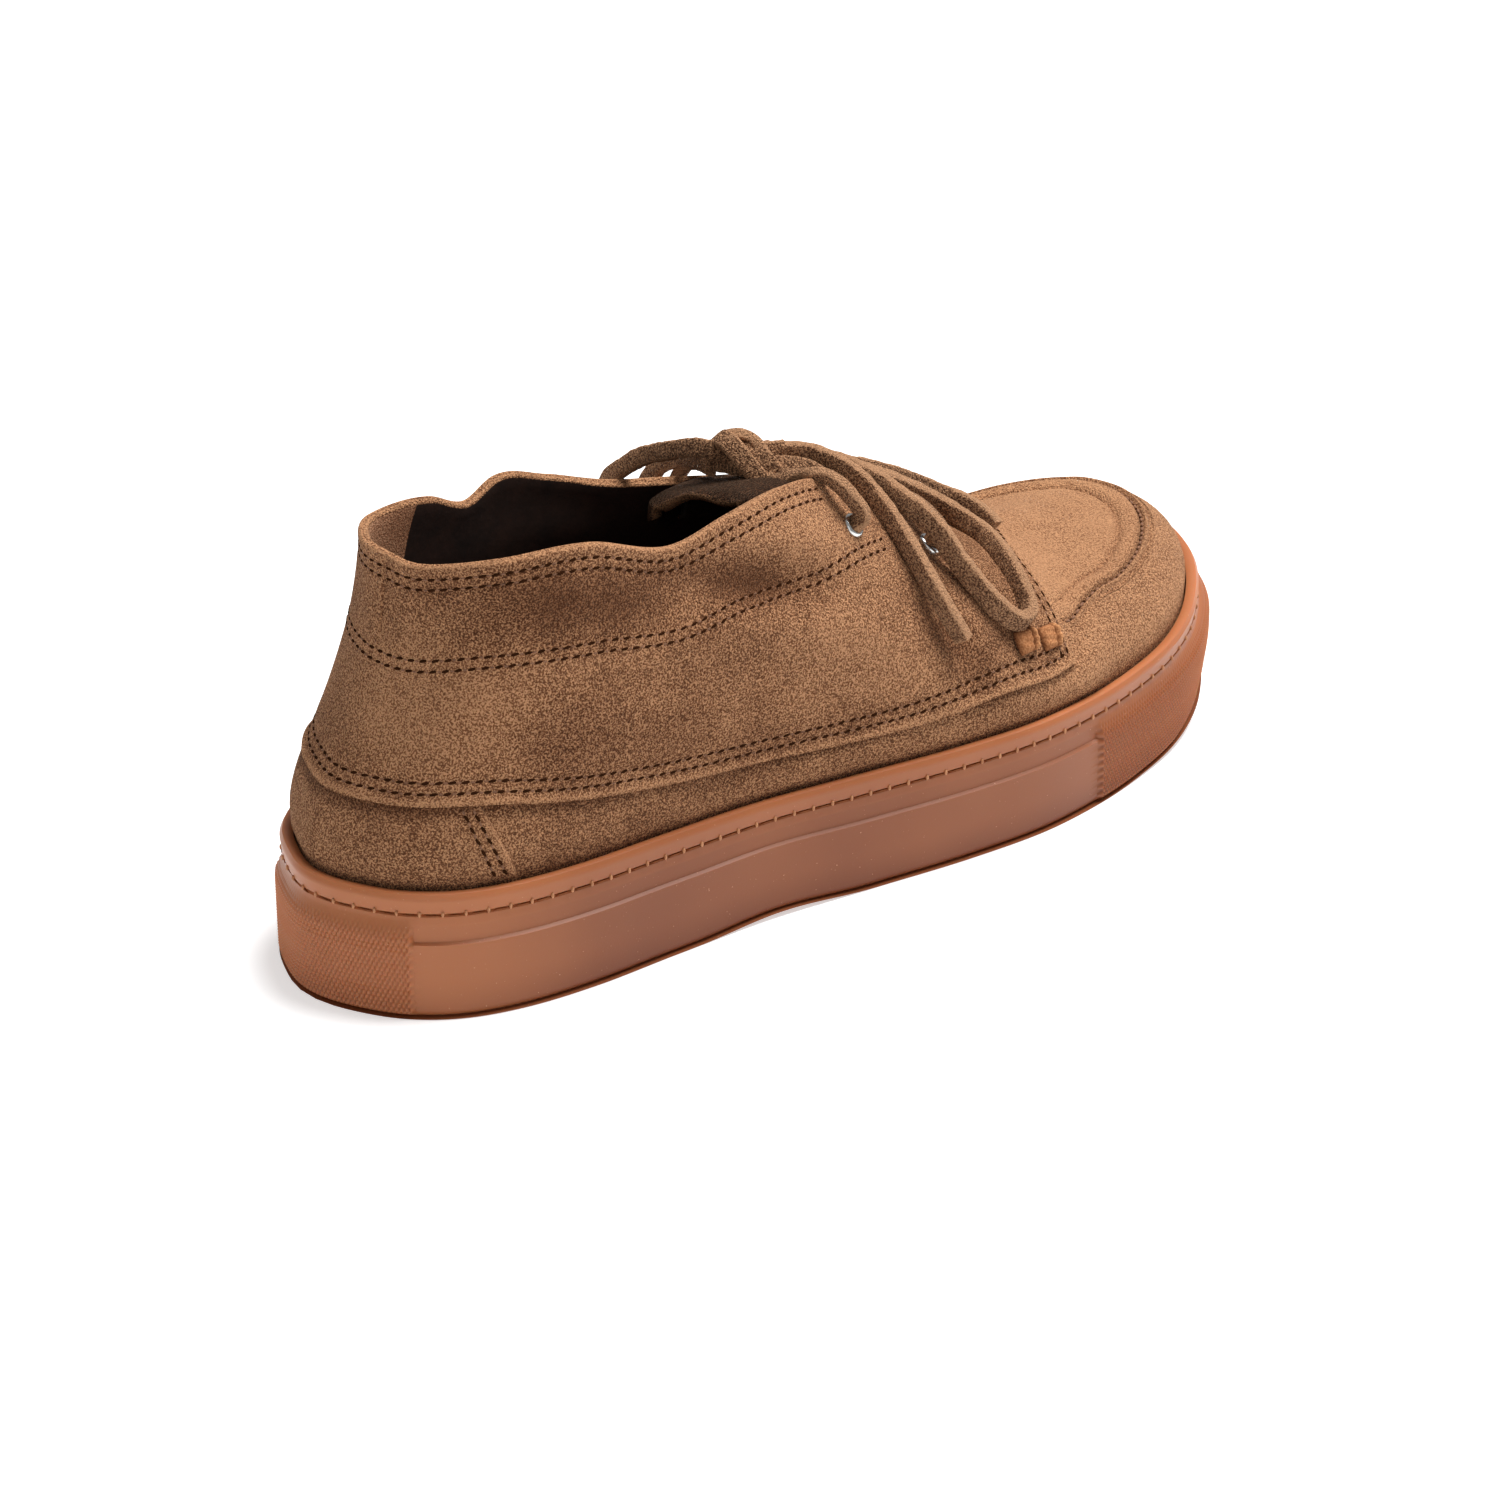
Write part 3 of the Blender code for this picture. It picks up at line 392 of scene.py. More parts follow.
# Sections of the upper. along is where the section leaves the sole. rise and lean place the
# panel line (toe: the moc seam), belly rounds the wall above it, edge_* place the open edge.
# Shares: along and edge_along of LENGTH, rise and edge_rise of COLLAR_HEIGHT, others of BALL_WIDTH.
LATERAL = (
    # along, rise, lean, belly, edge_along, edge_out, edge_rise
    (0.00, 0.491, -0.050, -0.044, 0.098, 0.000, 1.000),
    (0.03, 0.495, -0.040, -0.038, 0.106, 0.116, 1.000),
    (0.10, 0.498, -0.020, -0.020, 0.144, 0.253, 1.028),
    (0.20, 0.452, -0.005, 0.008, 0.220, 0.310, 1.022),
    (0.30, 0.415, 0.004, 0.020, 0.300, 0.333, 0.958),
    (0.37, 0.400, 0.006, 0.028, 0.360, 0.324, 0.977),
    (0.45, 0.385, 0.006, 0.040, 0.433, 0.287, 0.977),
    (0.51, 0.378, 0.004, 0.055, 0.487, 0.241, 0.934),
    (0.56, 0.380, 0.002, 0.070, 0.547, 0.190, 0.841),
    (0.62, 0.386, 0.000, 0.080, 0.620, 0.157, 0.705),
    (0.68, 0.372, -0.010, 0.074, 0.687, 0.116, 0.605),
    (0.72, 0.384, -0.022, 0.054, 0.728, 0.088, 0.556),
    (0.76, 0.440, -0.066, 0.016, 0.748, 0.072, 0.545),
    (0.82, 0.442, -0.076, 0.002, 0.758, 0.058, 0.540),
    (0.90, 0.446, -0.082, -0.004, 0.765, 0.033, 0.538),
    (1.00, 0.440, -0.094, -0.008, 0.768, 0.000, 0.538),
)
MEDIAL = (
    # along, rise, lean, belly, edge_along, edge_out, edge_rise
    (0.00, 0.491, -0.050, -0.044, 0.098, 0.000, 1.000),
    (0.03, 0.493, -0.040, -0.038, 0.106, 0.112, 0.998),
    (0.10, 0.496, -0.018, -0.018, 0.142, 0.213, 0.985),
    (0.20, 0.452, 0.000, 0.004, 0.213, 0.252, 0.955),
    (0.26, 0.441, 0.004, 0.012, 0.260, 0.276, 0.902),
    (0.30, 0.415, 0.006, 0.016, 0.293, 0.287, 0.930),
    (0.37, 0.403, 0.010, 0.024, 0.350, 0.294, 0.886),
    (0.45, 0.390, 0.012, 0.036, 0.420, 0.276, 0.820),
    (0.51, 0.382, 0.010, 0.050, 0.480, 0.222, 0.795),
    (0.56, 0.384, 0.006, 0.062, 0.547, 0.176, 0.755),
    (0.62, 0.390, 0.000, 0.070, 0.620, 0.144, 0.680),
    (0.68, 0.390, -0.010, 0.066, 0.687, 0.110, 0.600),
    (0.72, 0.398, -0.024, 0.046, 0.728, 0.086, 0.555),
    (0.76, 0.420, -0.082, 0.002, 0.748, 0.072, 0.545),
    (0.82, 0.418, -0.098, -0.014, 0.758, 0.058, 0.540),
    (0.90, 0.424, -0.104, -0.014, 0.765, 0.033, 0.538),
    (1.00, 0.440, -0.094, -0.008, 0.768, 0.000, 0.538),
)
SECTION_COLUMNS = ("rise", "lean", "belly", "edge_along", "edge_out", "edge_rise")

# Moc seam: share of the way from the seam to the throat, height over the wall in metres
MOC_SEAM = (
    # share, height
    (0.000, 0.0),
    (0.020, 0.0002),
    (0.034, 0.0014),
    (0.048, 0.0013),
    (0.058, 0.0001),
    (0.068, -0.0002),
    (0.085, 0.0009),
    (0.130, 0.0018),
    (0.170, 0.0012),
    (0.205, 0.0000),
    (0.240, 0.0004),
    (0.300, 0.0005),
    (0.400, 0.0004),
    (0.550, 0.0),
)

# Folds of wear on the upper, in millimetres and degrees from +X: side -1 is lateral
FOLDS = (
    # side, x, z, angle, length, width, depth
    (-1, -29.0, 87.0, -20.0, 22.0, 5.5, -2.4),
    (-1, -54.0, 93.0, -12.0, 18.0, 7.0, -1.3),
    (-1, -22.0, 97.5, -22.0, 20.0, 6.0, 1.2),
    (-1, -30.0, 76.0, -14.0, 30.0, 8.0, 1.0),
    (-1, 20.0, 60.0, -70.0, 12.0, 4.5, -1.4),
    (-1, 38.0, 57.0, -58.0, 11.0, 4.5, -1.2),
    (-1, 29.0, 59.0, -64.0, 10.0, 4.0, 0.7),
    (-1, -112.0, 94.0, -16.0, 26.0, 9.0, -0.9),
    (-1, -98.0, 74.0, 8.0, 30.0, 9.0, 0.7),
    (-1, -62.0, 66.0, 2.0, 34.0, 8.0, 0.5),
    (1, -28.0, 78.0, -14.0, 26.0, 7.0, -1.6),
    (1, -32.0, 66.0, -10.0, 28.0, 8.0, 0.8),
    (1, 22.0, 56.0, -66.0, 12.0, 5.0, -1.0),
    (1, -74.0, 84.0, 0.0, 30.0, 9.0, -0.9),
)

# Lighter and darker places on the suede, laid out like the folds, with the change of tone; among them painted
# shade in the folds, along the top of the collar and where the laces fall, and painted light on the tab
SPOTS_AND_PAINTED_LIGHT = (
    # side, x, z, angle, length, width, change of tone
    (-1, -130.0, 78.0, -5.0, 26.0, 15.0, 0.26),
    (-1, -140.0, 104.0, -10.0, 20.0, 8.0, -0.18),
    (-1, -100.0, 46.0, 2.0, 22.0, 4.0, -0.18),
    (-1, -92.0, 84.0, -8.0, 30.0, 5.0, 0.08),
    (-1, -86.0, 62.0, -8.0, 30.0, 9.0, -0.12),
    (-1, -84.0, 99.0, -14.0, 26.0, 8.0, -0.46),
    (-1, -56.0, 92.0, -6.0, 8.0, 5.0, 0.12),
    (-1, -12.0, 61.0, -14.0, 26.0, 12.0, 0.14),
    (-1, -16.0, 98.0, -24.0, 20.0, 9.0, 0.30),
    (-1, 4.0, 84.0, -60.0, 12.0, 5.0, 0.14),
    (-1, -36.0, 89.5, -20.0, 20.0, 4.5, -0.46),
    (-1, -60.0, 101.0, -10.0, 12.0, 4.0, -0.22),
    (-1, 24.0, 54.0, -60.0, 14.0, 6.0, -0.22),
    (-1, 12.0, 68.0, -62.0, 14.0, 3.5, -0.20),
    (-1, 40.0, 55.0, -58.0, 12.0, 4.0, -0.16),
    (-1, -130.0, 44.0, 0.0, 44.0, 9.0, 0.12),
    (-1, -50.0, 42.0, 6.0, 60.0, 5.0, -0.16),
    (1, -120.0, 76.0, 0.0, 36.0, 16.0, 0.14),
    (1, -20.0, 70.0, -14.0, 30.0, 12.0, 0.12),
    (1, -70.0, 90.0, 0.0, 30.0, 8.0, -0.14),
)

# Double stitch line below the collar
LOWER_COLLAR = (
    # along, share up the wall
    (0.0, 0.580),
    (0.015, 0.580),
    (0.165, 0.590),
    (0.340, 0.660),
    (0.458, 0.650),
    (0.545, 0.730),
)

# Stage
FLOOR_SIZE = 12.0
FLOOR_DROP = -0.0002
FLOOR_COLOUR = (0.72, 0.72, 0.72, 1.0)
WHITE = (1.0, 1.0, 1.0, 1.0)
WORLD_LIGHT = 0.32
FLOOR_GLOW = 0.50
LIGHTS = (
    # name, place, target, size, power
    ("key", (0.42, -0.10, 1.30), (0.0, 0.0, 0.04), 0.8, 31.0),
    ("fill", (-1.4, -1.3, 0.8), (0.0, 0.0, 0.05), 1.2, 3.5),
)
CAMERA_YAW = -41.513
CAMERA_RISE = 27.614
CAMERA_ROLL = -0.469
CAMERA_DISTANCE = 1.426686
CAMERA_LENS = 129.682
CAMERA_SHIFT = (-0.00833, 0.03557)
CAMERA_REACH = 20.0
SENSOR = 36.0

# Lace pieces: the direction of the broad side, how the piece ends, its twist, size and move, and its
# route in millimetres
LACES = (
    # node, across, far end, twist, size, move, route
    ("lace_neck_lateral", (0.12, -0.94, 0.33), None, 0.0, 0.88, (0.0, 0.0, 0.0), (
        (-8.6, -11.0, 100.0), (-7.9, -15.2, 100.9), (-6.2, -22.0, 103.9), (-3.9, -28.2, 105.4),
        (-2.2, -31.6, 104.0), (0.5, -35.0, 99.2), (2.2, -36.9, 95.2), (1.2, -35.4, 92.9),
        (-0.4, -32.6, 90.2))),
    ("lace_neck_medial", (0.9, 0.2, 0.1), None, 0.0, 1.0, (0.0, 0.0, 0.0), (
        (-6.6, 3.6, 101.2), (-4.5, 10.0, 97.6), (-2.5, 17.0, 93.8), (-0.8, 23.0, 91.4),
        (0.4, 28.4, 88.6), (0.6, 31.4, 85.6), (0.2, 33.2, 82.6), (-0.4, 31.4, 80.9),
        (-1.5, 27.2, 77.8))),
    ("lace_bar", (1.0, 0.0, -0.5), None, 0.0, 1.0, (0.0, 0.0, 0.0), (
        (26.8, -31.2, 74.3), (28.6, -33.3, 77.9), (30.2, -35.4, 81.4), (30.5, -30.5, 85.0),
        (30.5, -22.0, 86.8), (30.4, -14.0, 85.6), (30.4, -6.0, 83.6), (30.4, 0.0, 82.4),
        (30.2, 12.0, 81.6), (30.0, 20.0, 80.8), (29.6, 27.0, 78.4), (29.2, 31.6, 75.6),
        (28.4, 28.6, 73.1), (27.2, 25.6, 69.5))),
    ("lace_end_lateral", (0.55, -0.35, 0.75), "bare", 0.7, 1.0, (0.0, 0.0, 0.0), (
        (-1.8, -9.9, 105.1), (2.5, -12.7, 104.8), (8.7, -16.9, 101.8), (13.6, -22.0, 97.2),
        (15.8, -29.0, 91.0), (16.0, -37.0, 84.6), (17.0, -46.0, 74.6), (18.6, -50.6, 67.6),
        (21.0, -54.0, 60.5))),
    ("lace_loop_lateral", (0.36, -0.47, 0.81), "object", 0.0, 1.08, (-1.8, 1.6, 0.0), (
        (-0.2, -5.1, 103.3), (6.6, -4.1, 100.0), (22.8, -5.5, 92.9), (34.5, -8.0, 87.0),
        (46.9, -10.0, 79.5), (55.0, -14.0, 73.4), (57.5, -25.7, 69.4), (54.4, -37.9, 66.9),
        (52.3, -45.8, 62.2), (50.0, -51.4, 57.6), (46.4, -53.2, 56.8), (42.0, -52.2, 59.6),
        (37.4, -49.6, 65.4), (32.6, -44.0, 74.6), (28.5, -38.0, 84.8), (23.0, -30.5, 92.2),
        (20.2, -20.6, 95.8), (16.0, -12.4, 98.2), (8.0, -9.2, 101.0), (1.0, -8.6, 101.8))),
    ("lace_end_medial", (0.30, 0.25, 0.90), "bare", 0.2, 1.0, (0.0, 0.0, 0.0), (
        (-0.4, -0.1, 101.6), (7.6, 2.5, 98.1), (23.0, 2.6, 91.2), (40.1, -1.0, 84.2),
        (54.5, -2.0, 76.1), (62.0, -4.5, 71.4), (65.5, -9.5, 69.2), (66.7, -14.5, 67.0),
        (67.0, -17.4, 65.0))),
    ("lace_loop_medial", (0.31, 0.35, 0.89), "object", 0.0, 0.94, (-0.6, -0.6, -1.6), (
        (-14.4, 1.0, 107.8), (-15.6, 6.2, 107.2), (-17.6, 16.7, 103.2), (-18.0, 25.1, 99.3),
        (-19.9, 31.3, 94.4), (-20.1, 36.7, 89.4), (-19.1, 40.3, 82.6), (-16.5, 42.7, 75.6),
        (-11.9, 43.9, 71.4), (-7.3, 43.3, 74.6), (-4.5, 40.5, 81.6), (-3.3, 35.9, 88.6),
        (-3.1, 29.3, 93.0), (-6.0, 20.2, 96.7), (-9.7, 11.1, 99.9), (-12.4, 4.4, 101.4))),
)

# The knot's middle in millimetres and its own directions: along the strands, up its face and out of it
KNOT_CENTRE = (-9.0, -5.0, 105.4)
KNOT_ALONG = np.array((0.749, -0.663, 0.0))
KNOT_UP = np.array((0.307, 0.347, 0.886))
KNOT_OUT = np.array((-0.587, -0.663, 0.464))
KNOT_TURNS = (
    # name, turns of the thong (along, up, out in millimetres), across (along, up, out)
    ("knot_band", (
        (-7.2, -0.5, -4.2), (-7.6, 2.4, -1.6), (-6.0, 3.6, 1.6), (-3.8, 1.9, 3.5), (-1.2, -1.5, 4.2),
        (1.6, -5.0, 4.0), (4.4, -8.2, 2.8), (6.2, -10.0, 0.6), (6.0, -10.4, -2.0)), (0.78, 0.63, 0.0)),
    ("knot_hump", (
        (-7.6, 0.6, -2.4), (-6.0, 3.5, -0.4), (-2.4, 4.3, 0.2), (1.0, 3.5, 0.2), (3.8, 0.8, 0.4),
        (5.0, -1.6, 0.2)), (0.0, 0.3, 1.0)),
    ("knot_second", (
        (0.2, 1.6, 0.4), (3.0, -0.6, 2.2), (5.8, -3.4, 2.8), (8.0, -7.0, 2.0), (8.6, -9.6, -0.4)),
     (0.85, 0.52, 0.0)),
    ("knot_through", (
        (-9.0, 0.8, 0.2), (-4.5, 0.3, 0.4), (0.0, 0.1, 0.6), (4.5, 0.3, 0.0), (9.6, 0.8, -1.2)),
     (0.0, 1.0, 0.2)),
    ("knot_cross", (
        (-9.4, -1.6, -4.2), (-5.0, -2.4, -1.0), (-1.0, -3.4, 0.6), (3.0, -4.8, 0.4), (6.6, -6.2, -1.0)),
     (0.0, 0.9, 0.4)),
    ("knot_tail", (
        (3.4, -4.2, -0.6), (7.4, -3.6, 0.2), (11.4, -3.6, 1.8), (15.6, -4.8, 4.2), (19.6, -7.2, 7.2)),
     (0.0, 0.9, -0.4)),
)

# Where the two eyelets of a side sit: section share, and share up that section's wall
EYELETS = (
    # name, along, up
    ("upper", 0.520, 0.810),
    ("lower", 0.598, 0.740),
)

# Section shares of the upper that the tongue passes under, first and last row
TONGUE_SPAN = (0.505, 0.94)

# Free end of the tongue above the tabs: shares of TONGUE_LENGTH, and width over the first row
TONGUE_TOP = (
    # rise, back, width
    (0.08, 0.40, 0.88),
    (0.09, 0.75, 0.84),
    (0.06, 1.00, 0.74),
    (0.03, 1.08, 0.60),
)

# Puffed thong that shows through the quarter at each side: section share, share up the wall
THONG_PADS = (
    # name, along, up
    ("rear", 0.648, 0.180),
    ("front", 0.680, 0.160),
)


def hermite(t, start, leave, end, arrive):
    """Cubic between two values with given slopes at its ends."""
    return ((2 * t ** 3 - 3 * t ** 2 + 1) * start + (t ** 3 - 2 * t ** 2 + t) * leave
            + (3 * t ** 2 - 2 * t ** 3) * end + (t ** 3 - t ** 2) * arrive)


def curve_through(at, knots, values):
    """Smooth curve through the rows of a table, with slopes taken from the rows beside."""
    knots = np.asarray(knots, float)
    values = np.asarray(values, float)
    chord = np.diff(values) / np.diff(knots)
    slope = np.empty(len(knots))
    slope[1:-1] = (chord[:-1] * np.diff(knots)[1:] + chord[1:] * np.diff(knots)[:-1]) / (knots[2:] - knots[:-2])
    slope[0] = chord[0]
    slope[-1] = chord[-1]
    cell = np.clip(np.searchsorted(knots, at, side="right") - 1, 0, len(knots) - 2)
    width = knots[cell + 1] - knots[cell]
    t = (np.asarray(at, float) - knots[cell]) / width
    return hermite(t, values[cell], width * slope[cell], values[cell + 1], width * slope[cell + 1])


def turn_of(along):
    """Angle round the sole at a share of the length: 0 at the heel, pi at the toe."""
    return np.arccos(np.clip(1 - 2 * np.asarray(along, float), -1, 1))


def share_of(turn):
    """Share of the length at an angle round the sole."""
    return 0.5 - 0.5 * np.cos(turn)


def round_table(turn, lateral, medial, lateral_values, medial_values):
    """Value at an angle round the shoe, from rows on the lateral and then the medial side."""
    knots = np.concatenate([turn_of(lateral), 2 * math.pi - turn_of(medial)[::-1][1:]])
    values = np.concatenate([lateral_values, medial_values[::-1][1:]])
    knots = np.concatenate([knots[-4:-1] - 2 * math.pi, knots, knots[1:4] + 2 * math.pi])
    values = np.concatenate([values[-4:-1], values, values[1:4]])
    return curve_through(turn, knots, values)


def plan_point(turn):
    rows = np.array(OUTLINE)
    x = -0.5 * LENGTH * np.cos(turn)
    y = BALL_WIDTH * round_table(turn, rows[:, 0], rows[:, 0], -rows[:, 1], rows[:, 2])
    return np.stack([x, y], -1)


def inward(turn):
    """Unit direction square to the sole's outline, towards its middle."""
    turn = np.asarray(turn, float)
    along = plan_point(np.mod(turn + SMALL_TURN, 2 * math.pi)) - plan_point(np.mod(turn - SMALL_TURN, 2 * math.pi))
    along = unit(along)
    return np.stack([-along[..., 1], along[..., 0]], -1)


def outline(turn, inset=0.0):
    """Plan of the sole at angles round it, moved in by inset. Rows of x, y."""
    return plan_point(np.mod(turn, 2 * math.pi)) + inward(turn) * np.asarray(inset)[..., None]


def length_share(x):
    return np.clip(np.asarray(x) / LENGTH + 0.5, 0, 1)


def spring_height(share):
    """Rise of the sole's toe end."""
    return TOE_SPRING * np.clip((share - SPRING_START) / (1 - SPRING_START), 0, 1) ** 2


def bottom_height(x):
    """Underside of the sole: flat heel and ball, a low arch and the toe spring."""
    share = length_share(x)
    arch = np.clip((share - ARCH_START) / (ARCH_END - ARCH_START), 0, 1)
    return spring_height(share) + ARCH_RISE * np.sin(math.pi * arch) ** 2


def lip_height(x):
    share = length_share(x)
    return HEEL_SIDE + (TOE_SIDE - HEEL_SIDE) * share + spring_height(share)


def floor_height(x):
    share = length_share(x)
    fall = np.clip(share / FLOOR_RUN, 0, 1) ** FLOOR_BEND
    return HEEL_FLOOR + (TOE_FLOOR - HEEL_FLOOR) * fall + spring_height(share)


def section_values(turn):
    lateral = np.array(LATERAL)
    medial = np.array(MEDIAL)
    found = {}
    for column, name in enumerate(SECTION_COLUMNS, start=1):
        sign = -1 if name == "edge_out" else 1
        found[name] = round_table(turn, lateral[:, 0], medial[:, 0],
                                  sign * lateral[:, column], medial[:, column])
    return found


def toe_weight(turn):
    """1 where the moc seam runs, 0 on the quarters."""
    return np.clip((share_of(turn) - FRONT_EDGE_LOW + TOE_LEAD) / TOE_RUN, 0, 1)


def foot_point(turn, share):
    """Outer face of the upper from the cup floor (0) over the lip to the panel line (1)."""
    found = section_values(turn)
    inset = CUP_WALL + CUP_GAP
    feather = outline(turn, inset)
    lip = lip_height(feather[..., 0])
    floor = floor_height(feather[..., 0]) + GAP
    panel_xy = outline(turn, inset - BALL_WIDTH * found["lean"])
    panel_z = COLLAR_HEIGHT * found["rise"]
    low = np.clip(share / LIP_SHARE, 0, 1)
    high = np.clip((share - LIP_SHARE) / (1 - LIP_SHARE), 0, 1)
    swell = LIP_BULGE + (TOE_BULGE - LIP_BULGE) * toe_weight(turn)
    xy = feather + (panel_xy - feather) * high[..., None]
    xy = xy - inward(turn) * (swell * 4 * high * (1 - high))[..., None]
    z = floor + (lip - floor) * low + (panel_z - lip) * high
    return np.concatenate([xy, z[..., None]], -1)


def wall_point(turn, share):
    """Outer face of the upper from the panel line (0) to the collar or throat edge (1)."""
    found = section_values(turn)
    start = foot_point(turn, np.ones_like(turn))
    edge = np.stack([LENGTH * (found["edge_along"] - 0.5),
                     BALL_WIDTH * found["edge_out"],
                     COLLAR_HEIGHT * found["edge_rise"]], -1)
    chord = edge - start
    tangent = outline(turn + SMALL_TURN) - outline(turn - SMALL_TURN)
    tangent = np.concatenate([tangent, np.zeros_like(tangent[..., :1])], -1)
    across = unit(np.cross(tangent, chord))
    belly = BALL_WIDTH * found["belly"] * 4 * share * (1 - share)
    return start + chord * share[..., None] + across * belly[..., None]


def surface_normal(turn, share, part):
    up = part(turn, np.clip(share + SMALL_TURN, 0, 1)) - part(turn, np.clip(share - SMALL_TURN, 0, 1))
    round_way = part(turn + SMALL_TURN, share) - part(turn - SMALL_TURN, share)
    return unit(np.cross(round_way, up))


def seam_start(turn):
    """Share up the wall where the moc seam lies: it runs in above the quarter's corner."""
    return SEAM_START * np.clip((SEAM_LEVEL - share_of(turn)) / (SEAM_LEVEL - FRONT_EDGE_LOW), 0, 1)


def front_edge(share):
    """Angle of the quarter's front edge at a share up the wall."""
    return turn_of(FRONT_EDGE_LOW + (FRONT_EDGE_TOP - FRONT_EDGE_LOW) * share ** FRONT_EDGE_BEND)


def smooth(value, low, high):
    t = np.clip((np.asarray(value, float) - low) / (high - low), 0, 1)
    return t * t * (3 - 2 * t)


def hump(value, middle, width):
    """Soft bump: 1 at the middle, near 0 two widths away."""
    return np.exp(-((value - middle) / width) ** 2)


def ripple(points, size, seed):
    """Soft noise between about -1 and 1 with bumps of about that size."""
    draw = np.random.default_rng(seed)
    total = np.zeros(points.shape[:-1])
    for _ in range(RIPPLE_WAVES):
        way = draw.normal(size=3)
        way *= 2 * math.pi / (size * np.linalg.norm(way)) * draw.uniform(0.7, 1.4)
        total += np.sin(points @ way + draw.uniform(0, 2 * math.pi))
    return total / math.sqrt(RIPPLE_WAVES)


def softness(points, seed, share, rise, fall):
    """Unevenness of the leather, fading in and out over two spans of the share."""
    return ripple(points, SOFT_SIZE, seed) * SOFT_HEIGHT * smooth(share, *rise) * (1 - smooth(share, *fall))


def side_turns(share, slant=0.0):
    """Angles of the upper's columns at a share up the wall, with counter, quarter and toe weights."""
    counter = float(turn_of(COUNTER_EDGE + slant))
    front = float(front_edge(share))
    run = math.pi * STEP_RUN / LENGTH
    zones = ((0.0, counter - run, COUNTER_COLUMNS, 1, 1), (counter + run, front - run, QUARTER_COLUMNS, 0, 1),
             (front + run, math.pi, TOE_COLUMNS, 0, 0))
    rows = []
    for start, end, count, is_counter, is_quarter in zones:
        t = np.linspace(0, 1, count + 1)
        toe = np.zeros(count + 1) if is_quarter else np.minimum(1, TOE_EASE_START + TOE_EASE * t)
        rows.append(np.stack([start + (end - start) * t, np.full(count + 1, is_counter),
                              np.full(count + 1, is_quarter), toe], -1))
    side = np.concatenate(rows)
    other = side[1:-1][::-1].copy()
    other[:, 0] = 2 * math.pi - other[:, 0]
    return np.concatenate([side, other])


def seam_lift(turn, share):
    """Height of the moc seam's ridge, groove, puffed border and crease across the vamp."""
    rows = np.array(MOC_SEAM)
    capped = np.minimum(share, rows[-1, 0])
    ridge = curve_through(capped, rows[:, 0], rows[:, 1])
    deep = CREASE_LATERAL + (1 - CREASE_LATERAL) * smooth(turn, math.pi - CREASE_FADE, math.pi + CREASE_FADE)
    return ridge - CREASE_DEPTH * deep * hump(share, CREASE_AT, CREASE_WIDTH)


def marks(points, side_sign, table):
    """Sum of long soft spots laid on one side of the upper, each with its own amount."""
    total = np.zeros(len(points))
    for side, x, z, angle, length, width, amount in table:
        if side * side_sign <= 0:
            continue
        along = math.cos(math.radians(angle)), math.sin(math.radians(angle))
        off = np.stack([points[:, 0] - x * MM, points[:, 2] - z * MM], -1)
        far = off[:, 0] * along[0] + off[:, 1] * along[1]
        near = -off[:, 0] * along[1] + off[:, 1] * along[0]
        total += amount * np.exp(-(far / (length * MM)) ** 2 - (near / (width * MM)) ** 2)
    return total


def both_marks(turn, points, table):
    lateral = (turn < math.pi).astype(float)
    return marks(points, -1, table) * lateral + marks(points, 1, table) * (1 - lateral)


def wall_length(turn):
    """Length of the wall's straight chord from the panel line to the open edge."""
    return np.linalg.norm(wall_point(turn, np.ones_like(turn)) - wall_point(turn, np.zeros_like(turn)), axis=-1)


def from_heel(turn):
    """The same angle on either side, 0 at the heel and pi at the toe."""
    return np.minimum(turn, 2 * math.pi - turn)


def pucker(turn, share):
    """Shallow grooves that the stitch rows pull into the quarter near its lower edge and collar."""
    length = wall_length(turn)
    collar = from_heel(turn) < turn_of(COLLAR_ROW_END)
    sunk = 0.0
    for gap in ROW_GAPS:
        sunk = sunk + hump(share * length, gap, PUCKER_WIDTH)
        sunk = sunk + hump((1 - share) * length, gap, PUCKER_WIDTH) * collar
    return -PUCKER * sunk


def edge_flare(turn, share):
    """Lift of the quarter's raw edges, below and at the front."""
    front = np.exp(-np.maximum(front_edge(share) - from_heel(turn), 0) / FRONT_FLARE_TURN)
    return EDGE_FLARE * np.maximum(np.exp(-share / EDGE_FLARE_RUN), front * (1 - smooth(share, *FRONT_FLARE_END)))


def quarter_lift(turn, share, quarter, points, sunk=1.0):
    """Height of the quarter, its folds and its stitched edges over the plain last."""
    lift = PANEL_STEP * quarter + both_marks(turn, points, FOLDS) * MM
    lift = lift + quarter * (edge_flare(turn, share) + pucker(turn, share) * sunk)
    return lift + softness(points, WALL_SEED, share, (0.0, 0.1), (0.9, 1.0))


def counter_turn(share):
    """Angle of the counter's front edge at a share of the way up to the panel line."""
    return turn_of(COUNTER_EDGE + COUNTER_SLANT * (1 - share))


def counter_lift(turn, share, counter, points):
    """Height of the counter with its raised front edge over the plain last."""
    flare = COUNTER_FLARE * np.exp(-np.maximum(counter_turn(share) - from_heel(turn), 0) / COUNTER_FLARE_TURN)
    return (COUNTER_STEP + flare) * counter + softness(points, FOOT_SEED, share, (0.4, 0.6), (0.85, 1.0))


def wall_face(share):
    """One row of the outer face above the panel line: points, normals, heights and columns."""
    level = max(share, 0.0)
    columns = side_turns(level)
    turn, _, quarter, toe = columns.T
    at = share + (1 - quarter) * seam_start(turn) * (1 - share)
    inside = np.maximum(at, 0)
    plain = wall_point(turn, inside)
    if share < 0:
        slope = (wall_point(turn, inside + SLOPE_SHARE) - plain) / SLOPE_SHARE
        plain = plain + slope * np.minimum(at, 0)[:, None]
    normal = surface_normal(turn, inside, wall_point)
    lift = quarter_lift(turn, level, quarter, plain) + toe * seam_lift(turn, level) * (1 - quarter)
    return plain, normal, lift, columns


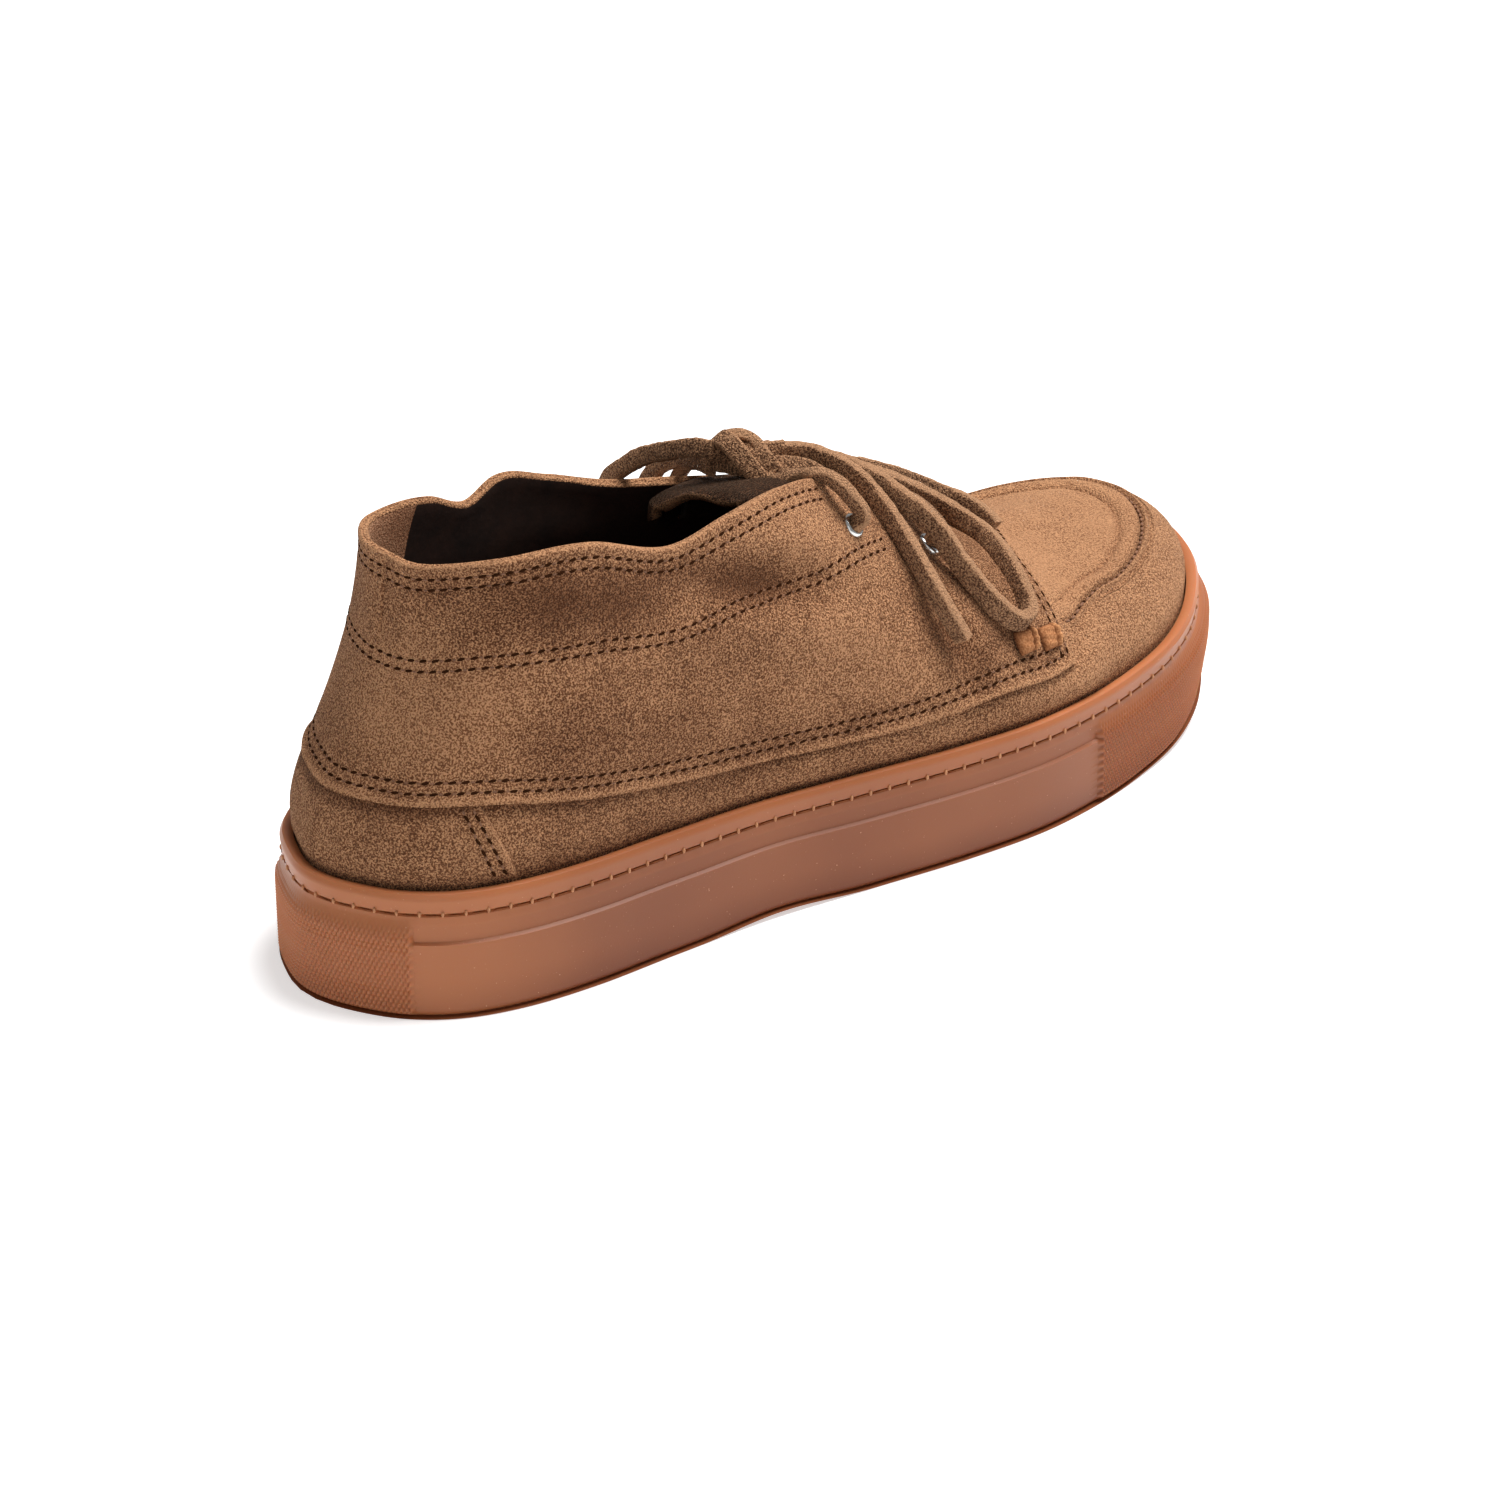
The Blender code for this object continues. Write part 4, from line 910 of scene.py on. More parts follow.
def foot_face(share):
    """One row of the outer face below the panel line, like wall_face."""
    columns = side_turns(0.0, COUNTER_SLANT * (1 - share))
    turn = columns[:, 0]
    at = np.full(len(turn), share)
    plain = foot_point(turn, at)
    counter = columns[:, 1] * smooth(share, LIP_SHARE, LIP_SHARE + COUNTER_RUN)
    lift = counter_lift(turn, share, counter, plain)
    return plain, surface_normal(turn, at, foot_point), lift, columns


# Materials

def link(tree, start, end):
    tree.links.new(start, end)


def add_node(tree, kind, **values):
    node = tree.nodes.new(kind)
    for key, value in values.items():
        setattr(node, key, value)
    return node


def set_sockets(node, **values):
    """Set a node's sockets, named with underscores for spaces."""
    for key, value in values.items():
        node.inputs[key.replace("_", " ")].default_value = value


def blend_colours(tree, factor, low, high):
    mix = add_node(tree, "ShaderNodeMix", data_type="RGBA")
    link(tree, factor, mix.inputs["Factor"])
    for socket, colour in ((mix.inputs["A"], low), (mix.inputs["B"], high)):
        if isinstance(colour, tuple):
            socket.default_value = (*colour, 1.0)
        else:
            link(tree, colour, socket)
    return mix.outputs["Result"]


def add_scaled(tree, value, amount, other, clamp=False):
    """Sum of another value and this value times an amount."""
    node = add_node(tree, "ShaderNodeMath", operation="MULTIPLY_ADD", use_clamp=clamp)
    link(tree, value, node.inputs[0])
    node.inputs[1].default_value = amount
    link(tree, other, node.inputs[2])
    return node.outputs[0]


def painted_tone(tree):
    """Tone that each point of a mesh carries, with its painted light and shade."""
    return add_node(tree, "ShaderNodeAttribute", attribute_name="tone").outputs["Fac"]


def spread(tree, value, low, high):
    """Stretch a value between two limits to 0..1."""
    node = add_node(tree, "ShaderNodeMapRange")
    set_sockets(node, From_Min=low, From_Max=high)
    link(tree, value, node.inputs["Value"])
    return node.outputs["Result"]


def noise(tree, place, scale, detail, rough):
    node = add_node(tree, "ShaderNodeTexNoise")
    set_sockets(node, Scale=scale, Detail=detail, Roughness=rough)
    link(tree, place, node.inputs["Vector"])
    return node.outputs["Fac"]


def mottle(tree, place, scale, detail, rough, low, high):
    """Noise stretched between two limits to 0..1."""
    return spread(tree, noise(tree, place, scale, detail, rough), low, high)


def new_material(name, colour, roughness, metallic=0.0):
    material = bpy.data.materials.new(name)
    material.use_nodes = True
    tree = material.node_tree
    shader = tree.nodes["Principled BSDF"]
    set_sockets(shader, Base_Color=(*colour, 1.0), Roughness=roughness, Metallic=metallic)
    place = add_node(tree, "ShaderNodeTexCoord").outputs["Object"]
    return material, tree, shader, place


def raise_bump(tree, shader, place, layers):
    """Chain of bumps: each layer is a noise's scale, detail and roughness, a strength and a depth."""
    before = None
    for scale, detail, rough, strength, depth in layers:
        bump = add_node(tree, "ShaderNodeBump")
        set_sockets(bump, Strength=strength, Distance=depth)
        link(tree, noise(tree, place, scale, detail, rough), bump.inputs["Height"])
        if before:
            link(tree, before, bump.inputs["Normal"])
        before = bump.outputs["Normal"]
    link(tree, before, shader.inputs["Normal"])


def suede(name, dark, middle, light, nap=1.0, sheen=0.12):
    """Brushed suede: cloudy tone, speckled nap, the painted light and shade its points carry, and a soft fibre
    sheen.
    """
    material, tree, shader, place = new_material(name, middle, SUEDE_ROUGHNESS)
    set_sockets(shader, Sheen_Weight=sheen, Sheen_Roughness=SHEEN_ROUGHNESS, Sheen_Tint=SHEEN_TINT,
                Specular_IOR_Level=SUEDE_SPECULAR)
    total = painted_tone(tree)
    for *grain, amount in SUEDE_CLOUDS:
        total = add_scaled(tree, mottle(tree, place, *grain), amount, total)
    *grain, amount = SUEDE_SPECKS
    total = add_scaled(tree, mottle(tree, place, *grain), amount * nap, total, clamp=True)
    low = blend_colours(tree, spread(tree, total, 0.0, 0.5), dark, middle)
    colour = blend_colours(tree, spread(tree, total, 0.5, 1.0), low, light)
    link(tree, colour, shader.inputs["Base Color"])
    raise_bump(tree, shader, place, (SUEDE_DENTS, (*SUEDE_NAP, nap, SUEDE_NAP_DEPTH)))
    return material


def gum(name, dark, light):
    """Semi-clear gum rubber with a soft skin and faint specks."""
    material, tree, shader, place = new_material(name, light, GUM_ROUGHNESS)
    *grain, amount = GUM_CLOUDS
    total = add_scaled(tree, mottle(tree, place, *grain), amount, painted_tone(tree), clamp=True)
    base = blend_colours(tree, total, dark, light)
    colour = blend_colours(tree, mottle(tree, place, *GUM_SPECKS), base, GUM_SPECK_COLOUR)
    link(tree, colour, shader.inputs["Base Color"])
    set_sockets(shader, Subsurface_Weight=0.25, Subsurface_Radius=(1.0, 0.30, 0.12), Subsurface_Scale=0.003,
                Specular_IOR_Level=0.25, Coat_Weight=0.06, Coat_Roughness=0.35)
    raise_bump(tree, shader, place, GUM_DENTS)
    return material


def plain(name, dark, light, roughness, scale=300.0, depth=0.0003, metallic=0.0):
    """Smooth leather, thread or metal with a little grain and uneven tone."""
    material, tree, shader, place = new_material(name, light, roughness, metallic)
    patches = mottle(tree, place, scale * 0.3, 3.0, 0.6, 0.3, 0.7)
    link(tree, blend_colours(tree, patches, dark, light), shader.inputs["Base Color"])
    if roughness > MATT:
        set_sockets(shader, Specular_IOR_Level=0.0)
    raise_bump(tree, shader, place, ((scale, 3.0, 0.55, 0.5, depth),))
    return material


# Meshes

def grid_faces(rows, columns, closed_columns, closed_rows):
    r = np.arange(rows if closed_rows else rows - 1)
    c = np.arange(columns if closed_columns else columns - 1)
    r, c = np.meshgrid(r, c, indexing="ij")
    below = (r + 1) % rows
    beside = (c + 1) % columns
    return np.stack([r * columns + c, r * columns + beside, below * columns + beside, below * columns + c],
                    -1).reshape(-1, 4)


def new_piece(name, points, faces, materials, slots=None, tone=None):
    """Mesh piece that rides on the shoe. slots are material numbers a face, tone a shade a point."""
    mesh = bpy.data.meshes.new(name)
    points = np.asarray(points, float).reshape(-1, 3)
    sizes = np.array([len(face) for face in faces])
    loops = np.concatenate([np.asarray(face) for face in faces])
    mesh.vertices.add(len(points))
    mesh.vertices.foreach_set("co", points.ravel())
    mesh.loops.add(int(sizes.sum()))
    mesh.loops.foreach_set("vertex_index", loops.astype(np.int32))
    mesh.polygons.add(len(sizes))
    mesh.polygons.foreach_set("loop_start", np.concatenate([[0], np.cumsum(sizes)[:-1]]).astype(np.int32))
    for material in materials:
        mesh.materials.append(material)
    if slots is not None:
        mesh.polygons.foreach_set("material_index", np.asarray(slots, np.int32))
    mesh.update(calc_edges=True)
    mesh.validate()
    if tone is not None:
        layer = mesh.attributes.new("tone", "FLOAT", "POINT")
        layer.data.foreach_set("value", np.asarray(tone, np.float32).ravel())
    mesh.shade_smooth()
    piece = bpy.data.objects.new(name, mesh)
    bpy.context.scene.collection.objects.link(piece)
    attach(piece, BODY)
    return piece


def turn_outward(piece, sharp=None):
    """Point all faces outward, and keep edges above an angle in degrees sharp."""
    work = bmesh.new()
    work.from_mesh(piece.data)
    bmesh.ops.recalc_face_normals(work, faces=work.faces)
    work.to_mesh(piece.data)
    work.free()
    if sharp:
        piece.data.set_sharp_from_angle(angle=math.radians(sharp))


def chain_length(points):
    """Length along a line of points up to each of them."""
    return np.concatenate([[0], np.cumsum(np.linalg.norm(np.diff(points, axis=0), axis=1))])


def unit(rows):
    return rows / np.linalg.norm(rows, axis=-1, keepdims=True)


# Upper

def foot_rows():
    """Rows of the outer face below the panel line, with their tones: painted light towards the toe, painted shade
    under the quarter's edge and at the lip, the counter's raw edge and the spots.
    """
    front = float(front_edge(0.0))
    for share in FOOT_SHARES:
        plain_row, normal, lift, columns = foot_face(share)
        turn = columns[:, 0]
        # Painted light towards the toe
        ahead = smooth(from_heel(turn), front + AHEAD[0], front + AHEAD[1])
        # Painted shadow under the quarter's edge, and painted shade down at the lip
        painted_shade = PAINTED_SHADOW_UNDER_QUARTER * smooth(share, *PAINTED_SHADOW_SPAN) * (1 - ahead)
        painted_shade = painted_shade + UPPER_LIP_PAINTED_SHADE * (1 - smooth(share, LIP_SHARE, UPPER_LIP_PAINTED_SHADE_END))
        raw = EDGE_TONE * hump(from_heel(turn), float(counter_turn(share)), COUNTER_FLARE_TURN) * columns[:, 1]
        tone = FOOT_TONE + TOE_PAINTED_LIGHT * ahead - painted_shade + raw + both_marks(turn, plain_row, SPOTS_AND_PAINTED_LIGHT)
        yield plain_row + normal * lift[:, None], tone


def wall_tone(share, columns, points):
    """Tone of the outer face at one row above the panel line: raw edges, painted shade on the walls, painted light
    on the apron and collar band, painted light and shade along the moc seam, and the spots.
    """
    turn, _, quarter, _ = columns.T
    toe = 1 - quarter
    gap = np.maximum(front_edge(max(share, 0.0)) - from_heel(turn), 0)
    # Painted shade on the walls, painted light up the apron
    tone = WALL_PAINTED_SHADE * quarter + toe * APRON_PAINTED_LIGHT * smooth(share, *APRON_SPAN)
    tone = tone + EDGE_TONE * quarter * (hump(share, *EDGE_BAND) + hump(gap, 0, FRONT_FLARE_TURN))
    # Spots of tone, among them painted light and shade
    tone = tone + both_marks(turn, points, SPOTS_AND_PAINTED_LIGHT) * quarter
    # Painted light and shade along the moc seam
    for amount, middle, width in SEAM_PAINTED_LIGHT_AND_SHADE:
        tone = tone + amount * toe * hump(share, middle, width)
    # Painted light on the collar band
    return tone + COLLAR_PAINTED_LIGHT * smooth(share, *COLLAR_SPAN)


def upper_rows():
    """Rows of the outer face, the rounded open edge and the inner face, with their tones and painted light and
    shade.
    """
    rows, tones = (list(part) for part in zip(*foot_rows()))
    for share in WALL_SHARES:
        plain_row, normal, lift, columns = wall_face(share)
        if share < 0:
            lift = lift - HEM_TUCK * PANEL_STEP * columns[:, 2]
        rows.append(plain_row + normal * lift[:, None])
        tones.append(wall_tone(share, columns, plain_row))
    up = unit(rows[-1] - rows[-2])
    thick = lift + WALL
    for turned in np.arange(1, RIM_STEPS) / RIM_STEPS:
        angle = math.pi * turned
        across = lift - thick / 2 + thick / 2 * math.cos(angle)
        height = thick / 2 * math.sin(angle) - RIM_GROOVE * hump(turned, 0.5, RIM_GROOVE_WIDTH)
        rows.append(plain_row + normal * across[:, None] + up * height[:, None])
        tones.append(np.full(len(lift), RIM_TONE if abs(turned - 0.5) > RIM_DARK else 0.0))
    outer_count = len(rows)
    for share in INNER_SHARES[::-1]:
        turn, _, quarter, _ = side_turns(share).T
        at = np.minimum(share + (1 - quarter) * seam_start(turn) * (1 - share), 1)
        plain_row = wall_point(turn, at)
        sunk = np.minimum(both_marks(turn, plain_row, FOLDS), 0) * MM - WALL
        rows.append(plain_row + surface_normal(turn, at, wall_point) * sunk[:, None])
    for share in INNER_FOOT_SHARES:
        plain_row, normal, _, _ = foot_face(share)
        rows.append(plain_row - normal * WALL)
    tones += [np.zeros(len(lift))] * (len(rows) - outer_count)
    return rows, tones, outer_count


def make_upper(looks):
    rows, tones, outer_count = upper_rows()
    count = len(rows[0])
    back = from_heel(side_turns(0.5)[:, 0]) < float(turn_of(HEEL_PATCH))
    slots = np.zeros((len(rows), count), int)
    slots[outer_count:] = np.where(back, 2, 1)
    piece = new_piece("upper_suede", np.concatenate(rows), grid_faces(len(rows), count, True, True),
                      (looks["suede"], looks["lining"], looks["heel"]), slots.ravel(), np.array(tones))
    turn_outward(piece, sharp=UPPER_SHARP)
    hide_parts("upper")


# Sole

def even_turns(start, end, sign):
    """Angles between two limits in equal steps of the outline, a few to each stud of the bumpers."""
    fine = np.linspace(start, end, EVEN_SAMPLES)
    arc = chain_length(plan_point(fine if sign > 0 else 2 * math.pi - fine))
    count = max(1, round(arc[-1] / KNURL_PITCH)) * KNURL_SAMPLES
    return np.interp(np.linspace(0, arc[-1], count + 1), arc, fine), np.arange(count + 1) / KNURL_SAMPLES


def sole_side(sign):
    """Angles up one side from heel to toe, with 1 on the bumpers and the studs counted."""
    heel_end = float(turn_of(HEEL_BUMPER_END))
    toe_start = float(turn_of(TOE_BUMPER_START))
    run = math.pi * STEP_RUN / LENGTH
    heel, heel_studs = even_turns(0.0, heel_end - run, sign)
    toe, toe_studs = even_turns(toe_start + run, math.pi, sign)
    middle = np.linspace(heel_end + run, toe_start - run, MIDDLE_SOLE_COLUMNS)
    turn = np.concatenate([heel, middle, toe])
    bumper = np.repeat([1.0, 0.0, 1.0], [len(heel), len(middle), len(toe)])
    studs = np.concatenate([heel_studs, np.zeros(len(middle)), toe_studs - toe_studs[-1]])
    return np.column_stack([turn if sign > 0 else 2 * math.pi - turn, bumper, studs])


def sole_columns():
    """Angles round the sole, with 1 on the bumpers and the studs counted."""
    return np.concatenate([sole_side(1), sole_side(-1)[1:-1][::-1]])


def sole_profile():
    """Fine rows up the side of the sole, through the rows of SOLE_SIDE."""
    table = np.array(SOLE_SIDE)
    rows = []
    for start, end in zip(table[:-1], table[1:]):
        fine = KNURL_ROW / KNURL_ROW_SAMPLES if start[0] < BUMPER_TOP else SOLE_ROW
        steps = max(1, int(round((end[0] - start[0]) / fine)))
        for i in range(steps):
            rows.append(start + (end - start) * i / steps)
    rows.append(table[-1])
    return np.array(rows)


def side_rows(turn, bumper, studs):
    """Rows up the outside of the sole with its studded bumpers, and their tones: painted light at the ends, on the
    stud tops, band and lip, and painted shade near the floor.
    """
    share = share_of(turn)
    at_toe = np.clip((share - TOE_FLARE_START) / (TOE_FLARE_FULL - TOE_FLARE_START), 0, 1)
    # Painted light at the heel and toe ends
    painted_light = SOLE_HEEL_PAINTED_LIGHT * (1 - smooth(share, *SOLE_HEEL_PAINTED_LIGHT_SPAN)) + SOLE_TOE_PAINTED_LIGHT * smooth(share, *SOLE_TOE_PAINTED_LIGHT_SPAN)
    for height, proud, _, toe in sole_profile():
        fade = 1 - smooth(height, *BUMPER_FADE)
        out = proud + (BUMPER_PROUD - proud) * bumper * smooth(height, *BUMPER_RISE) * fade + toe * at_toe
        plan = outline(turn, -out)
        low = bottom_height(plan[:, 0])
        side = lip_height(plan[:, 0]) - low
        knurl = bumper * smooth(height, *KNURL_RISE) * fade
        rib = np.cos(2 * math.pi * studs) * math.cos(2 * math.pi * height / KNURL_ROW)
        out = out + KNURL_HEIGHT * knurl * np.maximum(rib, KNURL_FLOOR)
        lip = smooth(height, *LIP_SPAN)
        band = smooth(height, BUMPER_TOP, BUMPER_TOP + BAND_RUN) * (1 - lip)
        # Painted light on the stud tops, band and lip, painted shade near the floor
        tone = (SOLE_TONE + painted_light + STUD_PAINTED_LIGHT * knurl * rib + LIP_PAINTED_LIGHT * lip + BAND_PAINTED_LIGHT * band
                - SOLE_FOOT_PAINTED_SHADE * (1 - smooth(height, 0.0, SOLE_FOOT_END)))
        yield np.column_stack([outline(turn, -out), low + side * height]), tone


def make_outsole(looks):
    turn, bumper, studs = sole_columns().T
    rows, tones = (list(part) for part in zip(*side_rows(turn, bumper, studs)))
    for inset, lift in LIP_ROWS:
        rim = outline(turn, CUP_WALL * inset)
        rows.append(np.column_stack([rim, lip_height(rim[:, 0]) + lift]))
        # Painted light on the lip's top
        tones.append(np.full(len(turn), LIP_TOP_PAINTED_LIGHT))
    rows.append(np.column_stack([rim, floor_height(rim[:, 0])]))
    tones.append(np.full(len(turn), CUP_TONE))
    faces = grid_faces(len(rows), len(turn), True, False)
    piece = new_piece("outsole_gum", np.concatenate(rows), faces, (looks["gum"],), tone=np.array(tones))
    turn_outward(piece, sharp=SOLE_SHARP)
    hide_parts("outsole")


def edge_distance(x, y):
    """Distance across the shoe from the sole's outline."""
    turn = turn_of(x / LENGTH + 0.5)
    return np.minimum(y - outline(turn)[..., 1], outline(2 * math.pi - turn)[..., 1] - y)


def sole_plate(name, height, inset, down, look, tone):
    """Sheet across the sole inside its outline, such as the tread or the cup floor."""
    turn = turn_of(np.linspace(PLATE_ENDS, 1 - PLATE_ENDS, PLATE_ROWS))
    t = np.linspace(0, 1, PLATE_COLUMNS)[:, None]
    points = []
    for one, two in zip(outline(turn, inset), outline(2 * math.pi - turn, inset)):
        line = one + (two - one) * t
        points.append(np.column_stack([line, height(line[:, 0], line[:, 1])]))
    faces = grid_faces(PLATE_ROWS, PLATE_COLUMNS, False, False)
    if down:
        faces = faces[:, ::-1]
    return new_piece(name, np.concatenate(points), faces, (look,), tone=np.full(PLATE_ROWS * PLATE_COLUMNS, tone))


def tread_height(x, y):
    """Underside with its cross grooves."""
    deep = np.zeros_like(x)
    for start, end in TREAD_ZONES:
        for i in range(int((end - start) * LENGTH / TREAD_PITCH) + 1):
            off = np.abs(x - LENGTH * (start - 0.5) - TREAD_PITCH * i)
            deep = np.maximum(deep, 1 - smooth(off, *(TREAD_GROOVE * share for share in TREAD_SIDES)))
    border = smooth(edge_distance(x, y), TREAD_BORDER - TREAD_FADE, TREAD_BORDER + TREAD_FADE)
    return bottom_height(x) + TREAD_DEPTH * deep * border


def insole_height(x, y):
    """Top of the footbed, cupped at its rim."""
    cup = 1 - smooth(edge_distance(x, y), INSOLE_INSET, INSOLE_INSET + INSOLE_CUP_RUN)
    return floor_height(x) + GAP + INSOLE + INSOLE_CUP * cup


# Tongue

def tongue_row(along):
    """One row of the tongue: under the lateral quarter, over the throat, under the medial quarter."""
    rows = []
    for turn in (float(turn_of(along)), 2 * math.pi - float(turn_of(along))):
        share = np.linspace(TONGUE_UNDERLAP, 1.0, TONGUE_SIDE_POINTS)
        turns = np.full(TONGUE_SIDE_POINTS, turn)
        sink = WALL + TONGUE_CLEAR + TONGUE_SINK * (1 - share) / (1 - TONGUE_UNDERLAP)
        rows.append(wall_point(turns, share) - surface_normal(turns, share, wall_point) * sink[:, None])
    lateral, medial = rows
    span = np.linalg.norm(medial[-1] - lateral[-1])
    leave = unit(lateral[-1] - lateral[-2]) * span * TONGUE_CROWN
    arrive = unit(medial[-2] - medial[-1]) * span * TONGUE_CROWN
    t = np.linspace(0, 1, TONGUE_BRIDGE_POINTS + 2)[1:-1, None]
    return np.concatenate([lateral, hermite(t, lateral[-1], leave, medial[-1], arrive), medial[::-1]])


def tongue_grid():
    rise, knots, width = np.concatenate([[(0.0, 0.0, 1.0)], TONGUE_TOP]).T
    rows = [tongue_row(along) for along in np.linspace(*TONGUE_SPAN, TONGUE_FINE_ROWS)]
    first = rows[0]
    centre = first.mean(axis=0)
    top = []
    for back in np.linspace(0, knots[-1], TONGUE_FREE_ROWS)[1:]:
        scale = float(curve_through(back, knots, width))
        lift = float(curve_through(back, knots, rise))
        moved = (first - centre) * np.array([1.0, scale, scale]) + centre
        top.append(moved + np.array([-back * TONGUE_LENGTH, TONGUE_LEAN * back, lift * TONGUE_LENGTH]))
    return np.array(top[::-1] + rows)


def tongue_tone(rows, columns):
    """Tone of the tongue: painted shade under the laces and quarters, light along its raw end."""
    row = np.arange(rows)[:, None]
    free = 1 - smooth(row, *(TONGUE_FREE_ROWS * share for share in TONGUE_PAINTED_SHADE_SPAN))
    tone = TONGUE_PAINTED_SHADE * free + (EDGE_TONE - TONGUE_PAINTED_SHADE) * hump(row, 0, TONGUE_EDGE_ROWS)
    return np.broadcast_to(tone, (rows, columns)).ravel()


def make_tongue(looks):
    grid = tongue_grid()
    rows, columns = grid.shape[:2]
    normal = unit(np.cross(np.gradient(grid, axis=1), np.gradient(grid, axis=0)))
    if normal[..., 2].mean() < 0:
        normal = -normal
    uneven = ripple(grid.reshape(-1, 3), TONGUE_RIPPLE_SIZE, TONGUE_SEED) * TONGUE_RIPPLE
    grid = grid + normal * uneven.reshape(rows, columns)[..., None]
    fade = np.clip(1 - np.arange(rows) / TONGUE_WAVE_ROWS, 0, 1)[:, None] ** 2
    wave = np.sin(np.linspace(0, 2 * math.pi * TONGUE_WAVES, columns))[None]
    grid = grid + np.array([0.0, 0.0, TONGUE_WAVE]) * (fade * wave)[..., None]
    layers = [(grid - normal * TONGUE * depth).reshape(-1, 3) for depth in TONGUE_LAYERS]
    total = rows * columns
    sheet = grid_faces(rows, columns, False, False)
    numbers = np.arange(total).reshape(rows, columns)
    edge = np.concatenate([numbers[0], numbers[1:, -1], numbers[-1, -2::-1], numbers[-2:0:-1, 0]])
    after = np.roll(edge, -1)
    rim = np.concatenate([np.stack([after + a, edge + a, edge + b, after + b], -1)
                          for a, b in ((0, total), (total, 2 * total))])
    faces = np.concatenate([sheet, sheet[:, ::-1] + 2 * total, rim])
    slots = np.repeat([0, 1, 0], [len(sheet), len(sheet), len(rim)])
    piece = new_piece("tongue_suede", np.concatenate(layers), faces, (looks["tongue"], looks["lining"]), slots,
                      np.tile(tongue_tone(rows, columns), len(layers)))
    turn_outward(piece)
    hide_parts("tongue")


# Eyelets and the leather thong in the quarter

def eyelet_frame(side, along, up):
    turn = np.array([float(turn_of(along))])
    if side == "medial":
        turn = 2 * math.pi - turn
    share = np.array([up])
    return Vector(wall_point(turn, share)[0]), Vector(surface_normal(turn, share, wall_point)[0])


def each_seat(places):
    """Side, name, share along and frame of each row of a table on both sides of the shoe."""
    for side in ("lateral", "medial"):
        for name, along, up in places:
            yield side, name, along, *eyelet_frame(side, along, up)


def make_eyelets(looks):
    bore = EYELET_BORE / 2
    flange = EYELET_OUTER / 2
    outside = PANEL_STEP + GAP
    profile = [(bore, -WALL - GAP), (bore, outside - EYELET_LEAD)]
    for step in range(EYELET_ROUND + 1):
        angle = math.pi * (1 - step / EYELET_ROUND)
        radius = (bore + flange) / 2 + (flange - bore) / 2 * math.cos(angle)
        profile.append((radius, outside + EYELET_DOME * math.sin(angle)))
    profile.append((flange, outside - EYELET_SKIRT))
    faces = grid_faces(len(profile), EYELET_SEGMENTS, True, False)
    angles = 2 * math.pi * np.arange(EYELET_SEGMENTS) / EYELET_SEGMENTS
    for side, name, _, centre, normal in each_seat(EYELETS):
        turn = Vector((0, 0, 1)).rotation_difference(normal)
        points = [centre + turn @ Vector((radius * math.cos(angle), radius * math.sin(angle), height))
                  for radius, height in profile for angle in angles]
        piece = new_piece(f"eyelet_ring_{side}_{name}", points, faces, (looks["nickel"],))
        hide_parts(f"eyelet_{side}_{name}")


def make_thongs(looks):
    """Puffed bits of smooth leather thong with pinched ends, a raised band and a groove, with painted shade at the
    ends and in the groove and painted light on the band.
    """
    u, v = np.meshgrid(np.linspace(-1, 1, THONG_GRID), np.linspace(-1, 1, THONG_GRID), indexing="ij")
    dome = np.clip(1 - np.abs(u) ** 4, 0, 1) ** 0.5 * np.clip(1 - np.abs(v) ** 4, 0, 1) ** 0.5
    # Painted shade at the pinched ends
    tone = THONG_TONE - THONG_END_PAINTED_SHADE * (1 - dome) ** 2
    puff = 1.0
    for slant, place, width, rise, shade in THONG_MARKS:
        mark = hump(u - slant * v, place, width)
        puff = puff + rise * mark
        tone = tone + shade * mark
    reach = u * (1 - THONG_PINCH * v ** 2) * THONG_SPREAD * THONG_LENGTH / 2
    faces = grid_faces(THONG_GRID, THONG_GRID, False, False)
    for side, name, along, centre, normal in each_seat(THONG_PADS):
        forward = Vector((1, 0, 0))
        forward = (forward - normal * forward.dot(normal)).normalized()
        across = normal.cross(forward)
        wrinkle = 0.07 * np.sin(9 * v + 3 * u + along * 40) + 0.05 * np.sin(14 * u - 5 * v)
        height = PANEL_STEP - THONG_SINK + THONG_HEIGHT * dome * (puff + wrinkle)
        points = (np.array(centre) + np.array(forward) * reach[..., None]
                  + np.array(across) * (v * THONG_SPREAD * THONG_WIDTH / 2)[..., None]
                  + np.array(normal) * height[..., None])
        piece = new_piece(f"thong_leather_{side}_{name}", points, faces, (looks["thong"],), tone=tone)
        if piece.data.polygons[0].normal.dot(normal) < 0:
            piece.data.flip_normals()
        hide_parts(f"thong_{side}_{name}")


# Laces

def lace_path(route):
    """Smooth line of close points through a route in millimetres."""
    stops = np.array(route) * MM
    run = chain_length(stops)
    places = np.linspace(0, run[-1], int(run[-1] / LACE_STEP) + 2)
    points = np.stack([curve_through(places, run, stops[:, axis]) for axis in range(3)], -1)
    for _ in range(LACE_EASE):
        points[1:-1] = 0.25 * points[:-2] + 0.5 * points[1:-1] + 0.25 * points[2:]
    return points


def lace_section(width, thick):
    """Points of the thong's squared section, with 1 on its edge faces."""
    for s in range(LACE_SIDES):
        theta = 2 * math.pi * (s + 0.5) / LACE_SIDES
        c, d = math.cos(theta), math.sin(theta)
        u = math.copysign(abs(c) ** LACE_SQUARE, c) * width / 2
        v = math.copysign(abs(d) ** LACE_SQUARE, d) * thick / 2
        yield u, v, float(abs(c) > abs(d) * LACE_CORNER)


